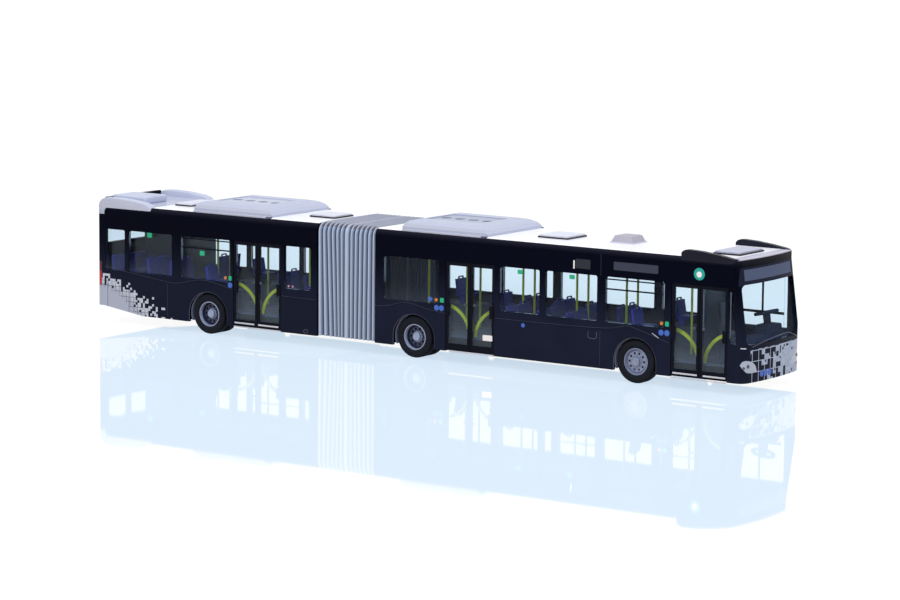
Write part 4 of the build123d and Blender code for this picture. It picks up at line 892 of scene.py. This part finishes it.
for name, (colour, body, face, rows) in plates.items():
    dress(joinPieces(name, [plateOn(name, face, *row) for row in rows]), ink[colour], body)
for name, (colour, body, face, rows) in discs.items():
    y = side[face] - (inkForm["skin"] - inkForm["sunk"]) / 2
    parts = [addButton(name, (x, y, z), wide / 2, inkForm["skin"] + inkForm["sunk"], inkForm["rim"],
                       inkForm["rise"]) for x, z, wide in rows]
    dress(joinPieces(name, parts), ink[colour], body)
eye = addButton("emblemEye", (emblemEye["x"], side["body"] - inkForm["skin"] - inkForm["sunk"], emblemEye["z"]),
                emblemEye["radius"], emblemEye["thick"], emblemEye["rim"], emblemEye["rise"])
dress(eye, ink["white"], "front_car")
print("prints and plates placed")

# sill strips, hinges and knobs of the doors

strips = {"proud": 0.1, "sunk": 0.05, "edge": 0.05, "sets": {
    # name: body, rows of (x from, x to, z, height)
    "frontStrips": ("front_car", ((82.9, 89.9, 3.86, 0.42), (91.6, 98.0, 3.86, 0.42), (82.4, 98.3, 2.72, 0.34),
                                  (15.3, 29.3, 2.95, 0.4))),
    "rearStrips": ("rear_car", ((-55.6, -48.8, 4.06, 0.42), (-47.5, -40.6, 4.06, 0.42),
                                (-55.9, -39.8, 3.0, 0.34)))}}
for name, (body, rows) in strips["sets"].items():
    near, far = side["leaf"] - strips["proud"], side["leaf"] + strips["sunk"]
    parts = [addBlock(name, (start, near, z - high / 2), (end, far, z + high / 2), strips["edge"])
             for start, end, z, high in rows]
    dress(joinPieces(name, parts), silverStrip, body)

hinges = {"half": 0.62, "halfHeight": 1.6, "proud": 0.24, "sunk": 0.1, "edge": 0.12, "z": 14.1, "sets": {
    # name: body, x of each hinge
    "frontHinges": ("front_car", (82.9, 97.6, 14.9, 28.5)),
    "rearHinges": ("rear_car", (-55.0, -40.6))}}
for name, (body, places) in hinges["sets"].items():
    near, far = side["leaf"] - hinges["proud"], side["leaf"] + hinges["sunk"]
    parts = [addBlock(name, (x - hinges["half"], near, hinges["z"] - hinges["halfHeight"]),
                      (x + hinges["half"], far, hinges["z"] + hinges["halfHeight"]), hinges["edge"], 3)
             for x in places]
    dress(joinPieces(name, parts), satinBlackAbs, body)

knobs = {"radius": 0.34, "thick": 0.24, "rim": 0.1, "rise": 0.06, "sides": 20, "z": 15.6, "sets": {
    # name: body, x of each knob
    "frontKnobs": ("front_car", (20.45, 23.3, 89.0, 91.7)),
    "rearKnobs": ("rear_car", (-48.9, -46.5))}}
for name, (body, places) in knobs["sets"].items():
    y = side["leaf"] - knobs["thick"] / 2
    parts = [addButton(name, (x, y, knobs["z"]), knobs["radius"], knobs["thick"], knobs["rim"], knobs["rise"],
                       knobs["sides"]) for x in places]
    for part in parts:
        smooth(part)
    # the knobs are painted grey as their highlight
    dress(joinPieces(name, parts), wiperGrey, body)
print("door trims placed")

# bars across the vent windows, on both sides, and in the driver's window

bars = {"y": (14.53, 14.64), "edge": 0.04, "divider": (91.8, 92.4, 17.1, 26.4), "sets": {
    # name: body, rows of (x from, x to, z, height, left or right)
    "ventBarsRear": ("rear_car", ((-74.0, -57.3, 23.5, 0.4, -1), (-74.0, -57.3, 26.0, 0.35, -1),
                                  (-71.5, -54.9, 23.5, 0.4, 1))),
    "ventBarsFront": ("front_car", ((63.2, 80.1, 23.4, 0.4, -1), (63.2, 80.1, 25.9, 0.35, -1),
                                    (32.0, 43.1, 23.4, 0.4, 1), (63.1, 75.0, 23.4, 0.4, 1),
                                    (84.8, 98.4, 16.8, 0.7, 1)))}}
near, far = bars["y"]
for name, (body, rows) in bars["sets"].items():
    parts = [addBlock(name, (start, way * near, z - high / 2), (end, way * far, z + high / 2), bars["edge"])
             for start, end, z, high, way in rows]
    dress(joinPieces(name, parts), satinBlackAbs, body)
back, front, low, high = bars["divider"]
divider = addBlock("cabWindowDivider", (back, near, low), (front, far, high), bars["edge"])
dress(divider, satinBlackAbs, "front_car")

# wipers on the black apron, and fine pale lines along the sides, painted highlights where the seams would catch
# light

wipers = {"thick": 0.18, "arms": (((103.62, -11.2, 11.8), (104.25, -3.6, 13.3), (104.1, 6.1, 13.65)),
                                  ((104.1, 6.1, 13.65), (103.85, 9.6, 12.9), (103.5, 12.2, 11.7)))}
# the wiper arms are painted grey as their highlight
parts = [addWire("wiper", row, wipers["thick"]) for row in wipers["arms"]]
dress(joinPieces("wipers", parts), wiperGrey, "front_car")
foil = {"thick": 0.3, "line": ((102.1, -14.4, 11.72), (102.7, -14.02, 11.68), (103.1, -13.4, 11.64))}
dress(addWire("cornerFoil", foil["line"], foil["thick"]), silverStrip, "front_car")

# painted highlights: pale wires along the belt seams on both sides
seams = {"y": 14.63, "thick": 0.13, "sets": {
    # name: body, places along each seam as rows of (x, z), the same on both sides
    "beltSeamHighlightFront": ("front_car", (((-8.3, 12.9), (-4.6, 12.9), (-0.6, 14.4), (1.8, 14.56), (4.0, 14.4),
                                     (10.2, 12.95), (14.0, 12.9)),
                                    ((29.6, 12.9), (62.4, 12.9), (68.4, 14.3), (69.9, 14.5), (71.4, 14.3),
                                     (81.6, 11.3)))),
    "beltSeamHighlightRear": ("rear_car", (((-101.6, 15.84), (-80.6, 13.45), (-77.5, 13.1), (-74.5, 13.3),
                                   (-70.6, 14.4), (-67.6, 14.8), (-64.4, 14.85), (-56.2, 13.1)),
                                  ((-39.5, 12.78), (-27.8, 12.66))))}}
for name, (body, rows) in seams["sets"].items():
    parts = [addWire(name, [(x, way * seams["y"], z) for x, z in row], seams["thick"])
             for row in rows for way in (-1, 1)]
    dress(joinPieces(name, parts), seamShine, body)

marks = {"y": -14.64, "sets": {
    # name: body, material, thickness, places as rows of (x, z)
    "fillerFlap": ("front_car", lipGrey, 0.14, (((58.1, 12.1), (58.0, 11.2), (58.05, 10.4), (59.3, 10.3),
                                                 (60.5, 10.35), (60.6, 11.2), (60.55, 12.05)),)),
    "archDash": ("front_car", silverStrip, 0.2, (((76.9, 13.3), (77.9, 12.75), (78.8, 12.2)),)),
    "sideOval": ("rear_car", lipGrey, 0.16, (((-32.0, 3.8), (-31.8, 4.2), (-31.2, 4.3), (-30.6, 4.2),
                                              (-30.4, 3.8), (-30.6, 3.45), (-31.2, 3.35), (-31.8, 3.45),
                                              (-32.0, 3.8)),)),
    # painted highlights along the panel seams
    "panelSeamHighlightFront": ("front_car", seamShine, 0.1, (((61.6, 3.5), (61.6, 8.0), (61.6, 12.6)),
                                                     ((61.6, 26.5), (61.6, 29.0), (61.6, 32.0)))),
    "panelSeamHighlightRear": ("rear_car", seamShine, 0.1, (((-79.0, 3.8), (-79.0, 8.0), (-79.0, 12.8)),))}}
for name, (body, material, thick, rows) in marks["sets"].items():
    parts = [addWire(name, [(x, marks["y"], z) for x, z in row], thick) for row in rows]
    dress(joinPieces(name, parts), material, body)

# painted highlight: grey wires along the edges of the arch lips
lips = {"inside": 0.03, "footZ": 3.0, "rise": 6.17, "y": 14.5, "thick": 0.2, "turns": 16, "sets": {
    # name: body, rows of (axle place, half width of the arch)
    "archLipsFront": ("front_car", ((71.93, 6.3), (4.11, 6.7))),
    "archLipRear": ("rear_car", ((-64.74, 6.7),))}}


def archLine(axleX, half):
    reach = half - lips["inside"]
    angles = [math.pi * turn / lips["turns"] for turn in range(lips["turns"] + 1)]
    arc = [(axleX - reach * math.cos(angle), tyre["hub"] + lips["rise"] * math.sin(angle)) for angle in angles]
    return [(axleX - reach, lips["footZ"]), *arc, (axleX + reach, lips["footZ"])]


for name, (body, rows) in lips["sets"].items():
    parts = [addWire(name, [(x, way * lips["y"], z) for x, z in archLine(*row)], lips["thick"])
             for row in rows for way in (-1, 1)]
    dress(joinPieces(name, parts), lipGrey, body)
print("wires and lips placed")

# mud liners behind the wheels, a shade lighter than the body

liners = {"radius": 6.08, "y": (12.2, 14.3), "lowZ": 3.3, "sides": 56, "thick": 0.08, "back": 2.2, "sets": {
    # name: body, axle places
    "archLinersFront": ("front_car", (71.93, 4.11)),
    "archLinersRear": ("rear_car", (-64.74,))}}


def makeLiner(axleX, hand):
    inner, outer = liners["y"]
    middle = (axleX, hand * (inner + outer) / 2, tyre["hub"])
    piece = addDisc("archLiner", middle, liners["radius"], outer - inner, liners["sides"])
    openMesh(piece)
    pickFaces(piece, lambda c, n: abs(n.y) > 0.9)
    bpy.ops.mesh.delete(type="FACE")
    bpy.ops.mesh.select_all(action="SELECT")
    bpy.ops.mesh.bisect(plane_co=(0, 0, liners["lowZ"] * mm), plane_no=(0, 0, 1), clear_inner=True)
    bpy.ops.mesh.select_all(action="SELECT")
    front = axleX - liners["back"]
    bpy.ops.mesh.bisect(plane_co=(front * mm, 0, 0), plane_no=(1, 0, 0), clear_outer=True)
    closeMesh()
    wall = piece.modifiers.new("wall", "SOLIDIFY")
    wall.thickness = liners["thick"] * mm
    applyModifiers(piece)
    smooth(piece, 40)
    return piece


for name, (body, axles) in liners["sets"].items():
    parts = [makeLiner(axleX, hand) for axleX in axles for hand in (-1, 1)]
    dress(joinPieces(name, parts), linerSlate, body)
print("arch liners placed")

# small things on the nose: three blank discs, and the bulbs behind the headlamp covers

nose = {"tip": 104.17, "bow": 1.2, "half": 14.655, "corner": 2.6, "sides": 28, "edge": 0.2,
        "discs": (-6.7, -4.85, -3.0), "discZ": 4.78, "discRadius": 0.86, "discThick": 0.1,
        # y, z and radius of each bulb
        "bulbs": ((12.55, 7.1, 0.46), (13.75, 6.75, 0.34)), "bulbThick": 0.12}


def noseFace(across):
    # how far forward the nose reaches at this place, and which way it faces
    flat = nose["half"] - nose["corner"]
    reach = min(abs(across), flat)
    forward = nose["tip"] - nose["bow"] * (reach / nose["half"]) ** 2
    turn = math.atan(2 * nose["bow"] * reach / nose["half"] ** 2)
    if abs(across) > flat:
        sine = (abs(across) - flat) / nose["corner"]
        forward -= nose["corner"] * (1 - math.sqrt(1 - sine ** 2))
        turn += math.asin(sine)
    return forward, math.copysign(turn, across)


def noseDisc(name, across, z, radius, depth):
    forward, turn = noseFace(across)
    disc = addDisc(name, (forward, across, z), radius, depth, nose["sides"], (0, math.pi / 2, turn))
    openMesh(disc, "EDGE")
    pickEdges(disc, lambda a, b: a.x > forward and b.x > forward and (a - b).length < radius)
    bpy.ops.mesh.bevel(offset=depth * nose["edge"] * mm, segments=2, affect="EDGES")
    closeMesh()
    return disc


parts = [noseDisc("noseDiscs", y, nose["discZ"], nose["discRadius"], nose["discThick"]) for y in nose["discs"]]
dress(joinPieces("noseDiscs", parts), ink["blue"], "front_car")
parts = [noseDisc("lampBulbs", way * y, z, radius, nose["bulbThick"])
         for y, z, radius in nose["bulbs"] for way in (-1, 1)]
dress(joinPieces("lampBulbs", parts), bulbDark, "front_car")

# the steering wheel's padded rim and the cowl round its column

steering = {"centre": (97.6, 6.6, 18.0), "foot": (98.27, 6.6, 13.0), "ring": 2.78, "pad": 0.44, "tilt": -14,
            "cowl": 2.0, "cowlEdge": 0.2, "column": 1.1}
clearSelection()
bpy.ops.mesh.primitive_torus_add(major_segments=56, minor_segments=14, major_radius=steering["ring"] * mm,
                                 minor_radius=steering["pad"] * mm,
                                 location=[c * mm for c in steering["centre"]],
                                 rotation=(0, math.radians(steering["tilt"]), 0))
rimPad = activePiece("steeringPad")
smooth(rimPad, 60)
top, foot = Vector(steering["centre"]), Vector(steering["foot"])
half = top.lerp(foot, 0.5)
cowl = addWire("steeringCowl", [top, top.lerp(half, 0.5), half], steering["cowl"])
openMesh(cowl, "EDGE")
# the rims of the cowl's two ends
pickEdges(cowl, lambda a, b: abs(a.z - b.z) < 0.6 and (a - b).length < 0.9 and (a.z > 17.5 or a.z < 16))
bpy.ops.mesh.bevel(offset=steering["cowlEdge"] * mm, segments=2, affect="EDGES")
closeMesh()
column = addWire("steeringColumn", [half, half.lerp(foot, 0.5), foot], steering["column"])
dress(joinPieces("steeringPad", [rimPad, cowl, column]), dashAbs, "front_car")
print("steering wheel padded")

# the vent's hood, the hatch over the engine, and the tail shroud with the grille behind it

roofZ = 33.5
vent = {"x": (57.25, 64.15), "half": 3.6, "flange": 0.36, "margin": 0.25, "taper": 0.7, "rise": 1.64,
        "edge": 0.18}
hatch = {"x": (-83.7, -77.5), "half": 5.9, "sunk": 0.05, "rim": 0.36, "corner": 0.8, "margin": 0.3,
         "slope": 0.12, "lid": 0.4}
shroud = {"y": (11.6, 14.45), "lowZ": 32.4, "highZ": 36, "edge": 0.3,
          # outline of the side fairings from the tail forwards, as (x, z)
          "line": ((-104.05, 32.4), (-103.7, 33.85), (-102.8, 34.75), (-101.4, 35.2), (-98.0, 35.3),
                   (-92.4, 35.0), (-88.2, 34.5), (-86.3, 34.0), (-85.3, 33.3), (-85.1, 32.4)),
          "box": ((-103.3, -9.3, 33.4), (-91.3, 0.6, 35.55)), "boxEdge": 0.6,
          "grille": ((-103.7, -11.7, 33.2), (-102.7, 11.7, 35.05))}


def makeVent():
    back, front = vent["x"]
    piece = addBlock("ventHood", (back, -vent["half"], roofZ), (front, vent["half"], roofZ + vent["flange"]))
    openMesh(piece)
    pickFaces(piece, lambda c, n: n.z > 0.9)
    bpy.ops.mesh.inset(thickness=vent["margin"] * mm, depth=0)
    bpy.ops.mesh.inset(thickness=vent["taper"] * mm, depth=vent["rise"] * mm)
    bpy.ops.mesh.select_mode(type="EDGE")
    pickEdges(piece, lambda a, b: max(a.z, b.z) > 35 and (a - b).length > 0.5)
    bpy.ops.mesh.bevel(offset=vent["edge"] * mm, segments=3, affect="EDGES")
    closeMesh()
    smooth(piece, 30)
    return piece


def makeHatch():
    back, front = hatch["x"]
    piece = addBlock("engineHatch", (back, -hatch["half"], roofZ - hatch["sunk"]),
                     (front, hatch["half"], roofZ + hatch["rim"]))
    openMesh(piece, "EDGE")
    pickEdges(piece, lambda a, b: abs(a.z - b.z) > 0.1)
    bpy.ops.mesh.bevel(offset=hatch["corner"] * mm, segments=4, affect="EDGES")
    bpy.ops.mesh.select_mode(type="FACE")
    pickFaces(piece, lambda c, n: n.z > 0.9)
    bpy.ops.mesh.inset(thickness=hatch["margin"] * mm, depth=0)
    bpy.ops.mesh.inset(thickness=hatch["slope"] * mm, depth=hatch["lid"] * mm)
    closeMesh()
    return piece


def makeFairing(hand):
    inner, outer = shroud["y"]
    line = shroud["line"]
    piece = addBlock("shroudSide", (line[0][0], hand * inner, shroud["lowZ"]),
                     (line[-1][0], hand * outer, shroud["highZ"]))
    openMesh(piece)
    for (x, z), (nextX, nextZ) in zip(line, line[1:]):
        bpy.ops.mesh.select_all(action="SELECT")
        way = Vector((z - nextZ, 0, nextX - x)).normalized()
        bpy.ops.mesh.bisect(plane_co=(x * mm, 0, z * mm), plane_no=way, use_fill=True, clear_outer=True)
    bpy.ops.mesh.select_mode(type="EDGE")
    pickEdges(piece, lambda a, b: abs(a.y - b.y) < 0.01 and (a.z > 32.5 or b.z > 32.5))
    bpy.ops.mesh.bevel(offset=shroud["edge"] * mm, segments=3, affect="EDGES")
    closeMesh()
    smooth(piece, 40)
    return piece


ventHood = makeVent()
dress(ventHood, ventAbs, "front_car")
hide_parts("roof_vent")
dress(makeHatch(), lidAbs, "rear_car")
shroudBox = addBlock("shroudBox", *shroud["box"], shroud["boxEdge"], 4)
smooth(shroudBox, 40)
shroudCover = joinPieces("tailShroudCover", [makeFairing(-1), makeFairing(1), shroudBox])
dress(shroudCover, greyAbs, "rear_car")
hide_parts("tail_shroud")
dress(addBlock("shroudGrille", *shroud["grille"]), satinBlackAbs, "rear_car")
print("vent, hatch and shroud shaped")

# feet of the roof units down to the cant rails, and their latches

feet = {"y": (12.8, 13.66), "z": (33.1, 33.75), "inside": 0.1, "edge": 0.2, "sets": {
    "unitFeetFront": ("front_car", "front_air_conditioner"),
    "unitFeetRear": ("rear_car", "rear_air_conditioner")}}
near, far = feet["y"]
low, high = feet["z"]
for name, (body, node) in feet["sets"].items():
    back, front = (corner.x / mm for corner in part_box(node))
    parts = [addBlock(name, (back + feet["inside"], way * near, low), (front - feet["inside"], way * far, high),
                      feet["edge"]) for way in (-1, 1)]
    for part in parts:
        smooth(part, 40)
    dress(joinPieces(name, parts), unitAbs, body)

latches = {"half": 0.85, "y": (12.9, 13.8), "z": (33.3, 33.72), "edge": 0.1, "sets": {
    # name: body, x on both sides
    "unitLatchesFront": ("front_car", 25.3),
    "unitLatchesRear": ("rear_car", -44.7)}}
near, far = latches["y"]
low, high = latches["z"]
for name, (body, x) in latches["sets"].items():
    parts = [addBlock(name, (x - latches["half"], way * near, low), (x + latches["half"], way * far, high),
                      latches["edge"]) for way in (-1, 1)]
    dress(joinPieces(name, parts), lipGrey, body)
print("roof units finished")

# floor, light and camera

sheetForm = {"size": 8, "drop": 0.02, "matt": "#656769", "seen": "#c7d8e8", "gloss": "#a68b65",
             "polish": 0.03}
studio = {
    "world": "#fbfdff", "light": 0.6, "seenMore": 0.4,
    "lamps": {
        # name: place, size, watts, aimed at
        "topSoftbox": ((0.1, -0.15, 0.75), 0.9, 4.0, (0, 0, 0)),
        "sideSoftbox": ((0.1, -0.8, 0.35), 0.6, 2.2, (0, 0, 0.01)),
        "frontSoftbox": ((0.9, -0.1, 0.3), 0.5, 1.0, (0.08, 0, 0.015)),
    }}
# solved from the photograph with the bus at its real size
view = {"place": (0.49420, -0.71751, 0.13534), "yaw": -34.2507, "pitch": 7.9628, "roll": 0.5237,
        "lens": 131.83, "sensor": 36}


def backgroundRays(tree):
    # 1 for what the camera sees directly, in a reflection or through glass; 0 for the light on the model
    ray = addNode(tree, "LightPath")
    return either(tree, ray["Is Camera Ray"], ray["Is Glossy Ray"], ray["Is Transmission Ray"])


def stageFloor():
    # white acrylic: matt white to the eye, with a faint reflection of the model
    clearSelection()
    bpy.ops.mesh.primitive_plane_add(size=sheetForm["size"], location=(0, 0, -sheetForm["drop"] * mm))
    sheet = activePiece("studioFloor")
    material, tree = newMaterial("whiteAcrylicSheet")
    matt = addNode(tree, "BsdfDiffuse", {"Color": linear(sheetForm["matt"])})[0]
    glow = addNode(tree, "Emission", {"Color": linear(sheetForm["seen"]), "Strength": backgroundRays(tree)})[0]
    gloss = addNode(tree, "BsdfGlossy", {"Color": linear(sheetForm["gloss"]),
                                         "Roughness": sheetForm["polish"]})[0]
    body = addNode(tree, "AddShader", (matt, glow))[0]
    shader = addNode(tree, "AddShader", (body, gloss))[0]
    addNode(tree, "OutputMaterial", {"Surface": shader})
    sheet.data.materials.append(material)
    sheet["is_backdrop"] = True


def studioLight():
    world = bpy.data.worlds.new("softWhiteStudio")
    bpy.context.scene.world = world
    world.use_nodes = True
    tree = world.node_tree
    tree.nodes.clear()
    strength = addNode(tree, "Math", (backgroundRays(tree), studio["seenMore"], studio["light"]),
                       operation="MULTIPLY_ADD")[0]
    glow = addNode(tree, "Background", {"Color": linear(studio["world"]), "Strength": strength})[0]
    addNode(tree, "OutputWorld", {"Surface": glow})
    for name, (place, size, watts, target) in studio["lamps"].items():
        lamp = bpy.data.lights.new(name, "AREA")
        lamp.size = size
        lamp.energy = watts
        holder = bpy.data.objects.new(name, lamp)
        bpy.context.collection.objects.link(holder)
        holder.location = place
        holder.rotation_euler = (Vector(target) - Vector(place)).to_track_quat("-Z", "Y").to_euler()


def photoCamera():
    yaw, pitch, roll = (math.radians(view[k]) for k in ("yaw", "pitch", "roll"))
    forward = Vector((math.sin(yaw) * math.cos(pitch), math.cos(yaw) * math.cos(pitch), -math.sin(pitch)))
    right = Vector((math.cos(yaw), -math.sin(yaw), 0))
    up = right.cross(forward)
    turnedRight = right * math.cos(roll) + up * math.sin(roll)
    turnedUp = up * math.cos(roll) - right * math.sin(roll)
    lens = bpy.data.cameras.new("photoCamera")
    lens.lens = view["lens"]
    lens.sensor_width = view["sensor"]
    lens.clip_start = 0.01
    holder = bpy.data.objects.new("photoCamera", lens)
    bpy.context.collection.objects.link(holder)
    turn = Matrix((turnedRight, turnedUp, -forward)).transposed().to_4x4()
    holder.matrix_world = Matrix.Translation(view["place"]) @ turn
    bpy.context.scene.camera = holder


stageFloor()
studioLight()
photoCamera()
bpy.context.scene.view_settings.view_transform = "Standard"
print("studio set")

low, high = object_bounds()
